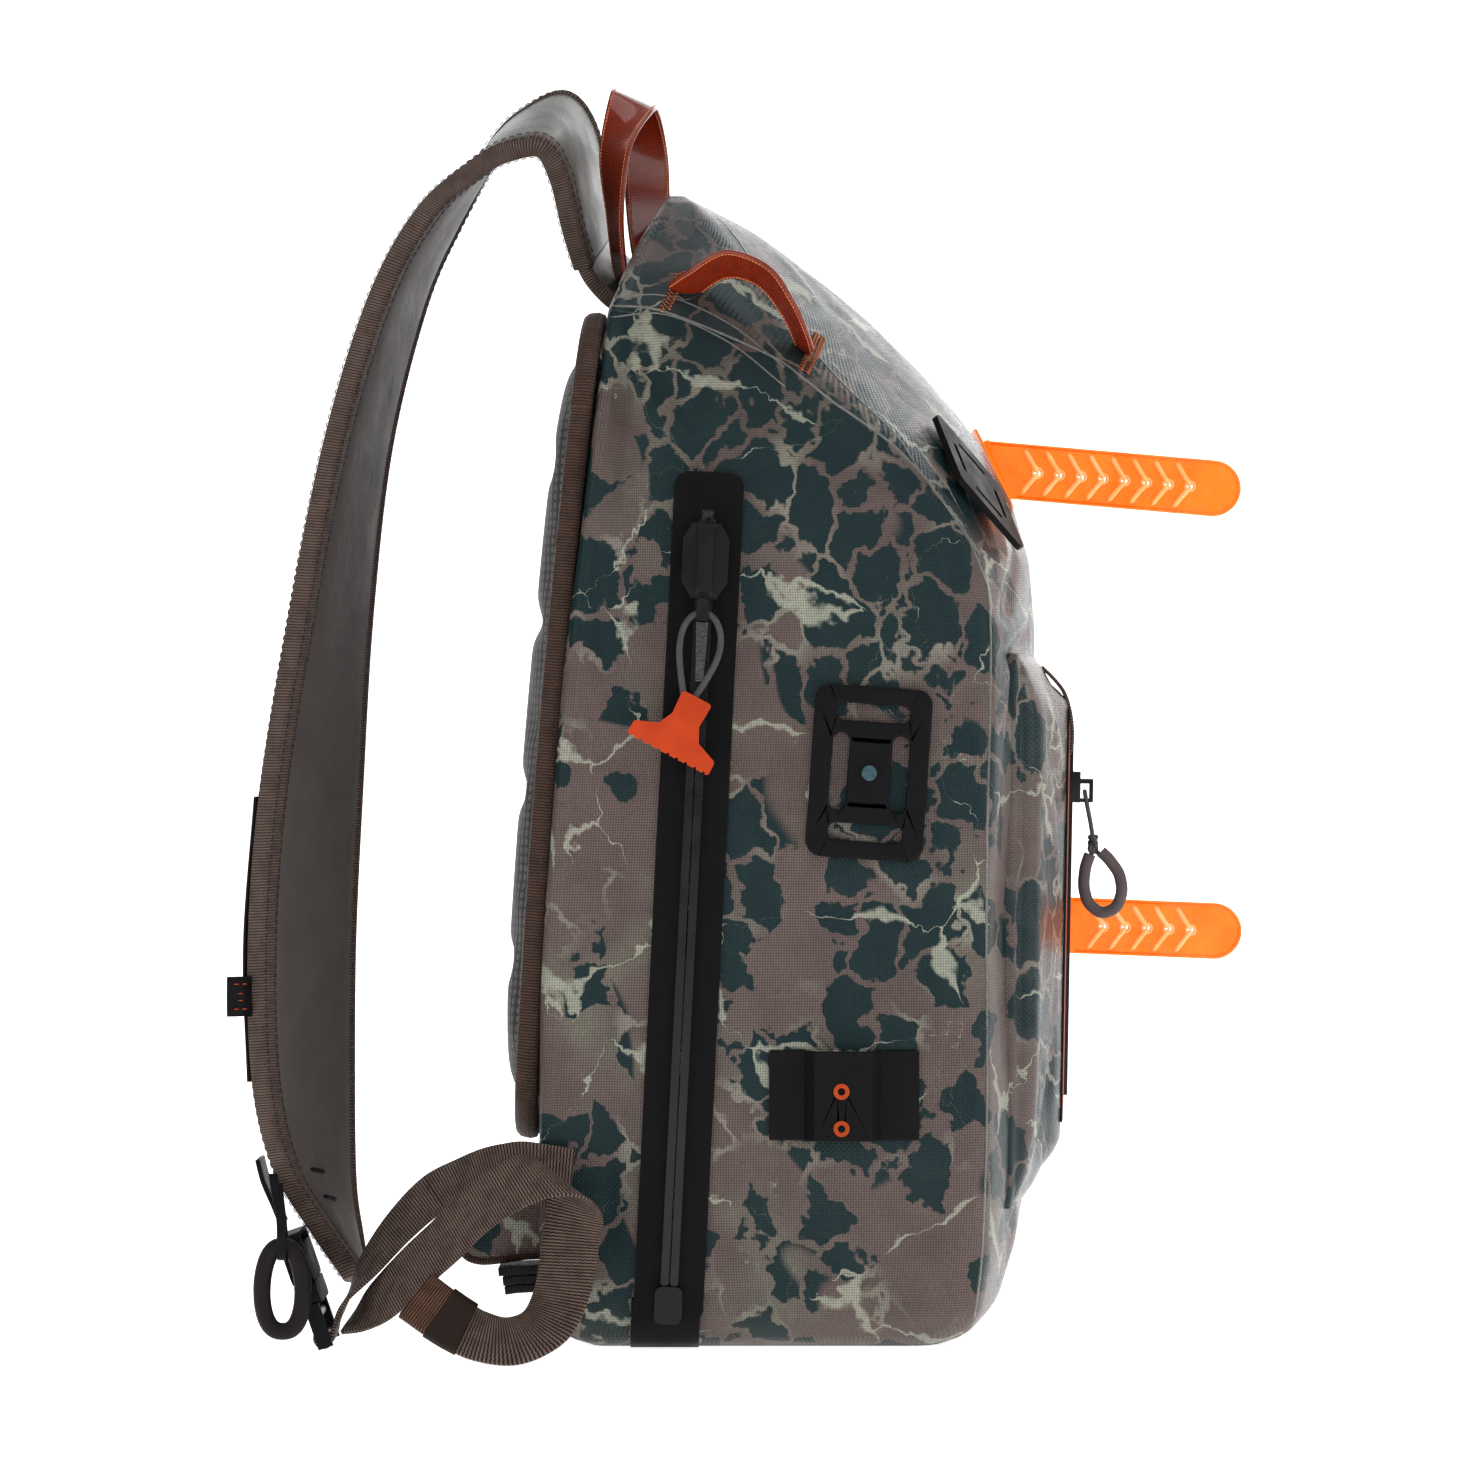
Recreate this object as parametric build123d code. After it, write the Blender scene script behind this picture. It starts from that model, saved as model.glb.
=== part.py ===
from build123d import *
import os
from math import radians, sin, cos, sqrt

# Submersible single-strap tackle backpack. Millimetres, +Z up, front towards -Y,
# wearer's side towards +Y. The origin is the centre of the base on the ground.

# ---- driving dimensions ----
HALF_W = 130.0        # half the width of the bag at its side panels
WALL = 3.0            # welded laminate fabric
GAP = 0.35            # running clearance between bodies
WEB_W = 25.0          # webbing width
WEB_T = 1.6           # webbing thickness
TOP_Z = 472.0

# bag outline, level by level: height, half width, back, side seam, front centre
LEVELS = [
    (0, 112, 70, -70, -84), (4, 121, 79, -78, -93), (13, 128, 86, -85, -101), (34, 130, 91, -88, -108),
    (64, 130, 93.4, -89, -113), (100, 130, 90.4, -89, -115), (200, 130, 82.2, -89, -115),
    (290, 130, 74.8, -91, -115), (320, 130, 72.3, -85, -112.5), (345, 129, 70.3, -68, -105),
    (370, 126, 68.2, -46, -91), (390, 121, 66.6, -20, -76), (405, 115, 65.3, -5, -63), (420, 107, 64, 6, -49),
    (436, 95, 57.5, 15, -30), (450, 81, 51, 20, -12), (461, 68, 45.5, 24, 4), (468, 58, 42, 29, 19),
    (TOP_Z, 50, 40, 33, 29)]
BACK_LOW, BACK_HIGH = (81, 92.0), (420, 64.0)    # height and depth of the flat back's two ends
REAR_ROUND, FRONT_ROUND = 14.0, 10.0             # plan radii of the bag's corners
BASE_TOP = 16.0
# (y, z) outline of a side panel's weld
SIDE_SEAM = [(97, 16), (97, 404), (64, 420), (-5, 403), (-30, 383), (-46, 370), (-70, 343), (-86, 318),
             (-92, 290), (-90, 100), (-86, 16)]

# main zipper on the near side panel, as (y, z) of its two ends
ZIP_LOW, ZIP_HIGH = Vector(0, 39.0, 12.0), Vector(0, 22.0, 352.0)
TAPE_W, TAPE_T, ZIP_SLOT = 28.0, 1.2, 12.0
CHAIN_W, CHAIN_T = 7.0, 3.4
SLIDER_W, SLIDER_L, SLIDER_T = 18.4, 30.0, 9.0
PULL_CORD = 2.6

# front pocket
POCKET_W, POCKET_LOW, POCKET_HIGH = 92.0, 54.0, 280.0
POCKET_ZIP_X, POCKET_ZIP_LOW, POCKET_ZIP_HIGH = -30.0, 84.0, 258.0

# lash straps on the front
LASH_X, LASH_W, LASH_T, LASH_PITCH = 8.0, 24.0, 3.0, 9.4
LASH_UPPER_Z, LASH_UPPER_ROOT = 361.0, -101.6
LASH_LOWER_Z, LASH_LOWER_ROOT = 165.0, -132.0

parts = {}


def at_level(z):
    """Half width, back, side seam and front of the bag at height z, between the levels."""
    for low, high in zip(LEVELS, LEVELS[1:]):
        if low[0] <= z <= high[0]:
            share = (z - low[0]) / (high[0] - low[0])
            return [a + (b - a) * share for a, b in zip(low[1:], high[1:])]
    return list(LEVELS[-1][1:])


def arc_y(x, half, seam, front):
    """Depth of the front arc through (-half, seam), (0, front), (half, seam) at x."""
    rise = seam - front
    radius = (half * half + rise * rise) / (2 * rise)
    return front + radius - sqrt(radius * radius - x * x)


def front_at(x, z):
    half, _, seam, front = at_level(z)
    return Vector(x, arc_y(x, half, seam, front), z)


def front_plane(x, z, lift=0.0):
    """A plane on the bag's front at (x, z): its x axis to the right as seen from in front, y up the slope."""
    here = front_at(x, z)
    across = (front_at(x + 2, z) - front_at(x - 2, z)).normalized()
    up = (front_at(x, z + 4) - front_at(x, z - 4)).normalized()
    out = across.cross(up).normalized()
    return Plane(origin=here + out * lift, x_dir=across, z_dir=out)


def side_plane(y, z, lift=0.0, lean=0.0):
    """A plane on the near side panel: x axis forwards, y axis up, turned clockwise by lean degrees."""
    turn = radians(lean)
    return Plane(origin=(-HALF_W - lift, y, z), x_dir=(0, -cos(turn), -sin(turn)), z_dir=(-1, 0, 0))


def outline(z, half, back, seam, front, inset=0.0):
    """One closed level of the bag: flat back and sides, a curved front, rounded corners."""
    half, back, seam, front = half - inset, back - inset, seam + inset * 0.4, front + inset
    a, b = (half, seam), (-half, seam)
    edges = [Line((-half, back), (half, back)), Line((half, back), a), ThreePointArc(a, (0, front), b),
             Line(b, (-half, back))]
    face = make_face(Wire(edges))
    rear = [v for v in face.vertices() if v.Y > (back + seam) / 2]
    deep = back - seam
    face = fillet(rear, max(min(REAR_ROUND, deep * 0.3) - inset * 0.5, 0.5)).faces()[0]
    fore = [v for v in face.vertices() if abs(v.Y - seam) < 0.01]
    face = fillet(fore, min(FRONT_ROUND, deep * 0.25)).faces()[0]
    return Pos(0, 0, z) * face


def bag_solid(inset=0.0):
    faces = []
    for z, half, back, seam, front in LEVELS:
        level = min(max(z, inset), TOP_Z - inset)
        faces.append(outline(level, half, back, seam, front, inset))
    return loft(Sketch() + faces, ruled=True)


def smooth(points, steps=3):
    """Points along the smooth curve through the given ones, steps to a span."""
    p = [Vector(*q) for q in points]
    p = [p[0] * 2 - p[1]] + p + [p[-1] * 2 - p[-2]]
    out = []
    for i in range(1, len(p) - 2):
        for k in range(steps):
            t = k / steps
            out.append((p[i] * 2 + (p[i + 1] - p[i - 1]) * t
                        + (p[i - 1] * 2 - p[i] * 5 + p[i + 1] * 4 - p[i + 2]) * t * t
                        + (p[i] * 3 - p[i - 1] - p[i + 1] * 3 + p[i + 2]) * t ** 3) * 0.5)
    return out + [p[-2]]


def ribbon(edge_a, edge_b, low, high, start=0.0, stop=None, steps=3):
    """A bent strip between two edge lines, from low to high along its face normal.

    start and stop are distances in from edge_a; stop counted back from edge_b when negative."""
    a, b = smooth(edge_a, steps), smooth(edge_b, steps)
    mid = [(p + q) * 0.5 for p, q in zip(a, b)]
    faces = []
    for i, (p, q) in enumerate(zip(a, b)):
        along = mid[min(i + 1, len(mid) - 1)] - mid[max(i - 1, 0)]
        across = (q - p).normalized()
        out = along.cross(across).normalized()
        wide = (q - p).length
        end = wide if stop is None else (wide + stop if stop <= 0 else stop)
        end = max(end, start + 1.0)
        corners = [p + across * u + out * v for u, v in ((start, low), (end, low), (end, high), (start, high))]
        faces.append(make_face(Polyline(*corners, close=True)))
    return loft(Sketch() + faces, ruled=True)


def strip(centres, acrosses, width, low, high, steps=3):
    """A ribbon of one width, from centre points and the direction across it at each."""
    half = [Vector(*d).normalized() * (width / 2) for d in acrosses]
    a = [tuple(Vector(*c) - h) for c, h in zip(centres, half)]
    b = [tuple(Vector(*c) + h) for c, h in zip(centres, half)]
    return ribbon(a, b, low, high, steps=steps)


def block(plane, width, height, thick, radius=0.0, x=0.0, y=0.0, z=0.0):
    """A plate on a plane, standing out of it, with round corners, centred at (x, y) and z out."""
    shape = RectangleRounded(width, height, radius) if radius else Rectangle(width, height)
    return plane * Pos(x, y, z) * extrude(shape, thick)


def slot(plane, width, height, thick, x=0.0, y=0.0, z=0.0):
    long, short = max(width, height), min(width, height)
    shape = SlotOverall(long, short, rotation=0 if width > height else 90)
    return plane * Pos(x, y, z) * extrude(shape, thick)


# ---- the welded bag ----
def side_cut(sign):
    outline_face = make_face(Polyline(*[(0, y, z) for y, z in SIDE_SEAM], close=True))
    cut = extrude(outline_face, 90, dir=(1, 0, 0))
    return Pos(-150 if sign < 0 else 60, 0, 0) * cut


def back_cut():
    """Everything behind the inner face of the flat back, up to the top of the pad."""
    lean = (BACK_LOW[1] - BACK_HIGH[1]) / (BACK_HIGH[0] - BACK_LOW[0])
    low = BACK_LOW[1] + lean * (BACK_LOW[0] - BASE_TOP) - WALL
    high = BACK_HIGH[1] - WALL
    face = make_face(Polyline((0, low, BASE_TOP), (0, high, BACK_HIGH[0]), (0, 130, BACK_HIGH[0]),
                              (0, 130, BASE_TOP), close=True))
    return Pos(-150, 0, 0) * extrude(face, 300, dir=(1, 0, 0))


def bag():
    outer = bag_solid()
    shell = outer - bag_solid(WALL)
    shell -= zip_plane().location * Box(ZIP_SLOT, zip_length() - 24, 30)
    base = shell & Pos(0, 0, BASE_TOP / 2) * Box(400, 400, BASE_TOP)
    upper = shell - Pos(0, 0, BASE_TOP / 2) * Box(400, 400, BASE_TOP)
    back = upper & back_cut()
    rest = upper - back_cut()
    near, far = rest & side_cut(-1), rest & side_cut(1)
    rest = rest - side_cut(-1) - side_cut(1)
    parts["base_panel"] = base
    parts["back_panel"] = back
    parts["side_panel_near"] = near
    parts["side_panel_far"] = far
    parts["front_top_panel"] = max(rest.solids(), key=lambda s: s.volume)
    return outer


def front_pocket(outer):
    """A shallow bellows pocket welded on the front, with a slot for its zipper."""
    def body(grow):
        faces = []
        for z, out in ((POCKET_LOW, 0.5), (66, 7), (82, 10.5), (110, 12), (180, 13), (254, 13.5), (268, 9),
                       (POCKET_HIGH, 0.5)):
            level = z + (grow if z == POCKET_LOW else -grow if z == POCKET_HIGH else 0)
            half, _, seam, front = at_level(level)
            edge = arc_y(POCKET_W, half, seam, front)
            wide, rim, mid = POCKET_W - grow, edge - out * 0.7 + grow, front - out + grow
            face = make_face(Wire([Line((-wide, -60), (wide, -60)), Line((wide, -60), (wide, rim)),
                                   ThreePointArc((wide, rim), (0, mid), (-wide, rim)),
                                   Line((-wide, rim), (-wide, -60))]))
            faces.append(Pos(0, 0, level) * face)
        return loft(Sketch() + faces, ruled=True)
    shell = body(0) - outer - body(2.0)
    shell = shell - Pos(POCKET_ZIP_X, -125, (POCKET_ZIP_LOW + POCKET_ZIP_HIGH) / 2) * Box(
        6, 30, POCKET_ZIP_HIGH - POCKET_ZIP_LOW - 14)
    parts["front_pocket"] = max(shell.solids(), key=lambda s: s.volume)


def back_pad():
    """Foam back pad with a bound edge, lying on the slanting flat back."""
    low, high = Vector(0, BACK_LOW[1], BACK_LOW[0]), Vector(0, BACK_HIGH[1], BACK_HIGH[0])
    up = (high - low).normalized()
    plane = Plane(origin=(low + high) * 0.5 + Vector(0, 0.3, 0), x_dir=(-1, 0, 0),
                  z_dir=Vector(-1, 0, 0).cross(up))
    long = (high - low).length
    wide = 2 * HALF_W - 16
    rim, edge = 8.0, 9.0
    face = RectangleRounded(wide - 2 * rim, long - 2 * rim, 34)
    dome = loft(Sketch() + [Pos(0, -20, 7) * RectangleRounded(wide - 2 * rim, long - 2 * rim - 40, 34),
                            Pos(0, -30, 12) * RectangleRounded(wide - 60, long - 110, 30),
                            Pos(0, -34, 14.5) * RectangleRounded(wide - 110, long - 180, 24)], ruled=True)
    parts["back_pad"] = plane * (extrude(face, 7) + dome)
    ring = RectangleRounded(wide, long, 42) - face
    parts["back_pad_binding"] = plane * extrude(ring, edge)


# ---- main zipper ----
def zip_length():
    return (ZIP_HIGH - ZIP_LOW).length


def zip_plane(lift=0.0):
    mid = (ZIP_LOW + ZIP_HIGH) * 0.5
    up = (ZIP_HIGH - ZIP_LOW).normalized()
    out = Vector(-1, 0, 0)
    return Plane(origin=mid + out * (HALF_W + lift), x_dir=up.cross(out), z_dir=out)


def main_zipper():
    long = zip_length()
    top = long / 2
    tape = block(zip_plane(), TAPE_W, long, TAPE_T, 6, z=0.1)
    gap = block(zip_plane(), CHAIN_W - 2.4, long - 30, 10, 1, z=-2)
    parts["main_zip_tape"] = tape - gap
    rib = CHAIN_W / 2 - 0.3
    for name, side in (("main_zip_chain_front", 1), ("main_zip_chain_rear", -1)):
        parts[name] = block(zip_plane(), rib, long - 34, CHAIN_T - 0.3, 1.2, x=side * (rib / 2 + 0.3), y=-2,
                            z=TAPE_T + 0.4)
    parts["main_zip_bottom_stop"] = block(zip_plane(), 11, 15, 4.4, 3, y=-top + 7.2, z=TAPE_T + 0.2)
    # the slider is parked at the closed end: a six-sided housing with a raised bar and a bridge
    s = top - 36
    z0 = TAPE_T + 0.1 + GAP
    w, h = SLIDER_W / 2, SLIDER_L / 2
    six = make_face(Polyline((-w * 0.6, h), (w * 0.6, h), (w, h * 0.6), (w, -h * 0.55), (w * 0.55, -h),
                             (-w * 0.55, -h), (-w, -h * 0.55), (-w, h * 0.6), close=True))
    body = zip_plane() * Pos(0, s, z0) * extrude(six, SLIDER_T)
    body -= block(zip_plane(), CHAIN_W + 2 * GAP + 0.4, SLIDER_L + 4, CHAIN_T + 1.2, y=s, z=z0 - 1)
    body += block(zip_plane(), 6, SLIDER_L - 3, 3.2, 1.5, y=s + 1, z=z0 + SLIDER_T)
    parts["main_slider_body"] = body
    bridge_y = s - h - 4.4
    bridge = block(zip_plane(), 5, 8.8, 7.5, 1.6, y=bridge_y, z=z0 + 4.5)
    bridge -= block(zip_plane(), 14, 5.4, 4.8, y=bridge_y - 0.7, z=z0 + 5.7)
    parts["main_slider_bridge"] = bridge
    post = extrude(Pos(0, bridge_y - 17) * make_face(Polyline(
        (-2.4, 12.5), (2.4, 12.5), (1.6, -12), (-1.6, -12), close=True)), 3.6)
    parts["main_slider_post"] = zip_plane() * Pos(0, 0, z0 + 5.5) * post
    return bridge_y


def tube(points, radii, diameter):
    """A cord: straight runs joined by tangent arcs."""
    path = FilletPolyline(*points, radius=radii)
    wire = path.wires()[0] if hasattr(path, "wires") else path
    start = wire @ 0
    disc = Plane(origin=start, z_dir=wire % 0) * Circle(diameter / 2)
    return sweep(disc, path=wire)


def bend_radii(points, share=0.45):
    """The arc at each corner, as large as its two runs allow."""
    out = []
    p = [Vector(*q) for q in points]
    for a, b, c in zip(p, p[1:], p[2:]):
        turn = radians((b - a).get_angle(c - b))
        out.append(share * min((b - a).length, (c - b).length) / (sin(turn / 2) / cos(turn / 2)))
    return out


def main_pull(bridge_y):
    """Cord loop through the bridge, with a moulded T-shaped tab on its two ends."""
    z_eye = TAPE_T + 0.1 + GAP + 8.1
    local = [(-6.0, -34.0, z_eye + 4.6), (-8.4, -22.0, z_eye + 3.4), (-8.6, -11.0, z_eye + 1.2),
             (-5.6, -3.4, z_eye), (0.0, -0.3, z_eye), (5.6, -3.4, z_eye), (8.4, -12.0, z_eye + 1.2),
             (6.0, -23.0, z_eye + 3.4), (-1.4, -35.0, z_eye + 4.6)]
    points = [tuple(zip_plane().from_local_coords(Vector(x, y + bridge_y, z))) for x, y, z in local]
    radii = bend_radii(points, 0.42)
    print("main_pull_cord bend radii", [round(r, 1) for r in radii])
    parts["main_pull_cord"] = tube(points, radii, PULL_CORD)
    # the tab's own frame: turned, with its stem at the cord's ends
    tab_plane = zip_plane() * Pos(-5.4, bridge_y - 46, z_eye + 1.6) * Rot(0, 0, -25)
    stem = make_face(Polyline((-6.5, 12), (6.5, 12), (6.0, 2), (9.0, -4), (18, -7.5), (18.2, -13.5),
                              (-18.2, -13.5), (-18, -7.5), (-9.0, -4), (-6.0, 2), close=True))
    tab = tab_plane * extrude(fillet(stem.vertices(), 1.4), 6.0)
    for k in range(9):
        tab -= tab_plane * Pos(-16 + 4 * k, -13.9, 3) * Box(1.2, 2.2, 8)
    parts["main_pull_tab"] = tab - parts["main_pull_cord"]


# ---- side panel trim ----
def side_trim():
    plane = side_plane(-41.6, 231.6, 0.1, 4.0)
    plate = block(plane, 47, 69, 3.4, 6.5)
    for width, height, x, y in ((30, 7, 0, 24), (30, 7, 0, -24), (6.8, 31, 12, 0), (6.8, 31, -12, 0)):
        plate -= slot(plane, width, height, 12, x, y, -2)
    parts["accessory_plate"] = plate - plane * Pos(0, 0, 3) * Cylinder(1.9, 8)
    rivet = plane * Pos(0, 0, 2.1) * Cylinder(1.85, 4.2)
    parts["accessory_plate_rivet"] = rivet + plane * Pos(0, 0, 4.2) * Cylinder(3, 1.4)
    tab = side_plane(-31.6, 102.8, 0.1, 0)
    bulge = 8.5
    band = make_face(Polyline((-30, 0), (-15, 0), (-11, bulge - 1.6), (10, bulge - 1.6), (14, 0), (30, 0),
                              (30, 1.6), (15, 1.6), (11, bulge), (-12, bulge), (-16, 1.6), (-30, 1.6),
                              close=True))
    lying = Plane(origin=tab.origin, x_dir=tab.x_dir, z_dir=tab.y_dir)
    sheet = lying * Pos(0, 0, -18) * extrude(mirror(band, Plane.XZ), 36)
    for y in (2.0, -12.8):
        sheet -= tab * Pos(-1.2, y, bulge) * Cylinder(1.6, 8)
    parts["tool_tab"] = sheet
    eyelets = [tab * Pos(-1.2, y, bulge + 0.4) * (Cylinder(3.2, 0.8) - Cylinder(1.5, 3)) for y in (2.0, -12.8)]
    parts["tool_tab_eyelets"] = Compound(children=[e.solids()[0] for e in eyelets])


def lash_patches():
    """Flat diamond patches with four slits, one beside each edge."""
    high, wide = 36.0, 23.0
    for name, side in (("lash_patch_near", -1), ("lash_patch_far", 1)):
        plane = front_plane(side * 88, 349, 0.9)
        diamond = make_face(Polyline((0, high), (wide, 0), (0, -high), (-wide, 0), close=True))
        patch = plane * extrude(fillet(diamond.vertices(), 3.5), 2.6)
        edge = Vector(wide, high).length
        for across in (1, -1):
            for up in (1, -1):
                turn = -across * up * (90 - 57.4)
                slit = Pos(across * wide * 0.31, up * high * 0.31) * Rot(0, 0, -turn) * Rectangle(2.6, edge * 0.4)
                patch -= plane * Pos(0, 0, -2) * extrude(slit, 8)
        parts[name] = patch


def lash_straps():
    """Two moulded straps with a row of holes that stand out of the front, each on a patch.

    rake is how far the face that a strap stands on leans back per millimetre of height."""
    for name, z, root, tip, drop, rake in (("upper", LASH_UPPER_Z, LASH_UPPER_ROOT, -206.0, 9.0, 0.48),
                                           ("lower", LASH_LOWER_Z, LASH_LOWER_ROOT, -206.0, 3.0, 0.02)):
        length = root - tip
        slope = drop / length
        plane = Plane(origin=(LASH_X, root, z), x_dir=(0, -cos(slope), -sin(slope)), z_dir=(-1, 0, 0))
        end = LASH_W / 2
        lean = end * (rake + slope)
        face = make_face(Wire([Line((lean, -end), (length - end, -end)), ThreePointArc(
            (length - end, -end), (length, 0), (length - end, end)), Line((length - end, end), (-lean, end)),
            Line((-lean, end), (lean, -end))]))
        blade = plane * Pos(0, 0, -LASH_T / 2) * extrude(face, LASH_T)
        foot = plane.from_local_coords(Vector(lean, -end, 0))
        head = plane.from_local_coords(Vector(-lean, end, 0))
        blade += Plane(origin=foot, z_dir=head - foot) * Pos(0, 0, (head - foot).length / 2) * Cylinder(
            LASH_T / 2, (head - foot).length)
        for k in range(int((length - 26) / LASH_PITCH)):
            blade -= plane * Pos(length - 22 - LASH_PITCH * k, 0, 0) * Cylinder(1.4, 8)
        parts["lash_strap_" + name] = blade
        base = Plane(origin=(LASH_X, root + LASH_T / 2 + 0.8, z), x_dir=(1, 0, 0), z_dir=(0, -1, rake))
        parts["lash_base_" + name] = block(base, 34, 38, 1.2, 6, z=-1.2)


def handles(outer):
    """Webbing grab loops on the near top edge and at the top of the back, both sewn down."""
    side = [(-97, 36, 424), (-106, 30, 429), (-115, 16, 436.5), (-122, 1, 431.5), (-121, -9, 419),
            (-113, -15, 407), (-103, -18, 400)]
    lean = [(-.75, .3, .6), (-.85, .1, .5), (-.88, 0, .47), (-.93, -.2, .3), (-.95, -.2, .2), (-.95, -.2, .2),
            (-.95, -.15, .2)]
    parts["side_handle"] = strip(side, lean, 20, -1.1, 1.1) - outer
    tacks = []
    for x, y, z in ((-101.5, 34.5, 427), (-108.5, -20.5, 400.5)):
        tack = Pos(x, y, z) * Rot(0, -38, 0) * Box(7, 9, 16) - outer - parts["side_handle"]
        tacks.append(max(tack.solids(), key=lambda s: s.volume))
    parts["side_handle_tacks"] = Compound(children=tacks)
    grab = [(-22, 58.5, 434), (-26, 61, 446), (-29, 62.8, 468), (-27, 62.5, 494), (-13, 56, 516), (7, 54, 517),
            (21, 51, 500), (26, 50, 478), (25, 48.5, 460), (22, 46, 444)]
    wide = [(1, .2, 0), (.97, .25, 0), (.94, .34, 0), (.75, .65, -.1), (.2, .9, .35), (-.1, .93, .33),
            (-.35, .9, .1), (-.4, .9, 0), (-.5, .85, 0), (-.6, .8, 0)]
    loop = strip(grab, wide, WEB_W - 4, -1.1, 1.1) - outer
    parts["grab_handle"] = max(loop.solids(), key=lambda s: s.volume)


# ---- pocket zipper ----
def pocket_face(z):
    """Depth of the pocket's front at the zipper."""
    share = (z - 82) / (254 - 82)
    return -124.4 - 3.2 * share


def pocket_plane(lift=0.0):
    low = Vector(POCKET_ZIP_X, pocket_face(POCKET_ZIP_LOW), POCKET_ZIP_LOW)
    high = Vector(POCKET_ZIP_X, pocket_face(POCKET_ZIP_HIGH), POCKET_ZIP_HIGH)
    up = (high - low).normalized()
    across = Vector(cos(radians(5)), -sin(radians(5)), 0)
    out = across.cross(up).normalized()
    return Plane(origin=(low + high) * 0.5 + out * lift, x_dir=across, z_dir=out)


def pocket_zipper():
    plane = pocket_plane(0.9)
    long = POCKET_ZIP_HIGH - POCKET_ZIP_LOW
    tape = block(plane, 20, long, 0.9, 2)
    parts["pocket_zip_tape"] = tape - block(plane, 3, long - 16, 6, 1, z=-2)
    parts["pocket_zip_coil"] = block(plane, 4.6, long - 22, 1.5, 0.7, z=1.2)
    garage = block(plane, 26, 30, 2.0, 5, y=long / 2 - 9, z=2.9)
    garage -= block(plane, 12, 14, 10, 2, y=long / 2 - 21, z=-3)
    parts["pocket_zip_garage"] = garage
    parts["pocket_garage_loop"] = block(plane, 7, 13, 1.6, 2, x=-14, y=long / 2 - 20, z=5.0)
    s = long / 2 - 24 - 9
    z0 = 0.9 + GAP
    slider = make_face(Polyline((-4.8, 6.5), (4.8, 6.5), (5.2, 0), (3.8, -6.5), (-3.8, -6.5), (-5.2, 0),
                                close=True))
    body = plane * Pos(0, s, z0) * extrude(slider, 4.6)
    body -= block(plane, 5.2, 20, 2.4 + GAP, y=s, z=z0 - 1)
    bridge = block(plane, 3.4, 10, 5.4, 1.4, y=s - 1.4, z=z0 + 4.6)
    bridge -= block(plane, 6, 6.2, 3.6, y=s - 1.6, z=z0 + 4.65)
    parts["pocket_slider"] = body + bridge
    return s, z0 + 6.3


def pocket_pull(s, eye):
    """Thin cord through the slider's bridge, knotted, ending in a bent rubber sleeve that stands out."""
    cord_d = 2.0
    local = [(-1.4, -20.5, eye + 3.8), (-3.0, -14.6, eye + 2.8), (-3.4, -8.0, eye + 1.3), (-2.6, -1.9, eye + 0.1),
             (2.6, -1.5, eye + 0.1), (3.4, -8.0, eye + 1.3), (3.0, -14.6, eye + 2.8), (1.4, -20.5, eye + 3.8)]
    plane = pocket_plane(0.9)
    points = [tuple(plane.from_local_coords(Vector(x, y + s, z))) for x, y, z in local]
    radii = bend_radii(points, 0.4)
    print("pocket_pull_cord bend radii", [round(r, 1) for r in radii])
    parts["pocket_pull_cord"] = tube(points, radii, cord_d)
    knot = plane * Pos(0, s - 23.5, eye + 4.0) * Sphere(4.0)
    parts["pocket_pull_knot"] = knot - parts["pocket_pull_cord"]
    loop = [(-28.2, 2.8), (-33.5, 1.0), (-41.5, 0.2), (-49.0, 2.2), (-53.5, 8.4), (-50.5, 14.6), (-43.5, 16.8),
            (-36.0, 15.4), (-29.6, 10.4), (-27.0, 7.4)]
    points = [tuple(plane.from_local_coords(Vector(0, y + s, eye + z))) for y, z in loop]
    parts["pocket_pull_sleeve"] = tube(points, bend_radii(points, 0.4), 5.0)


# ---- shoulder strap ----
STRAP_NEAR = [(-44, 76, 442), (-48, 81, 458), (-52, 86, 478), (-57, 93, 490), (-62, 107, 488), (-67, 119, 481),
              (-74, 140, 463), (-80, 160, 426), (-90, 177.5, 366), (-101, 191, 294), (-111, 202, 222),
              (-120, 205.5, 162), (-127, 203, 108), (-125, 195, 74), (-116, 182, 50), (-101, 168, 27)]
STRAP_FAR = [(27, 68, 464), (24, 71, 484), (20, 74, 508), (14, 84, 522), (6, 98, 516), (0, 113, 501),
             (-6, 132, 465), (-13, 146, 430), (-23, 160, 369), (-35, 167, 297), (-47, 170, 224),
             (-57, 172, 162), (-64, 172, 104), (-70, 171, 62), (-74, 168, 40), (-81, 164.5, 22)]
PAD_T = 8.0


def shoulder_strap():
    near, far = STRAP_NEAR, STRAP_FAR
    half = PAD_T / 2
    parts["strap_foam"] = ribbon(near, far, 0.05, half - 0.4, 11, -6)
    parts["strap_outer_shell"] = ribbon(near, far, -half + 0.4, -0.05, 11, -6)
    parts["strap_binding_near"] = ribbon(near, far, -half, half, 0, 10.8)
    parts["strap_binding_far"] = ribbon(far, near, -half, half, 0, 5.8)
    # black strip along the near edge's outside, with its folded label
    parts["strap_edge_strip"] = ribbon(near[10:13], far[10:13], -half - 1.8, -half - 0.4, -1, 12)
    parts["strap_label"] = Pos(-126.4, 210.8, 142) * Rot(0, 0, 27.6) * Box(1.4, 10, 16)


# ---- lower hardware: hanger, ring, side-release buckle ----
BUCKLE_TOP = Vector(-121.5, 191.0, 49.0)
BUCKLE_LEAN = 19.0
BUCKLE_W = 32.0
RING_AT = Vector(-144.0, 191.6, 27.0)   # centre of the ring
RING_HIGH, RING_WIDE, RING_R = 33.5, 12.1, 3.5


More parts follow.
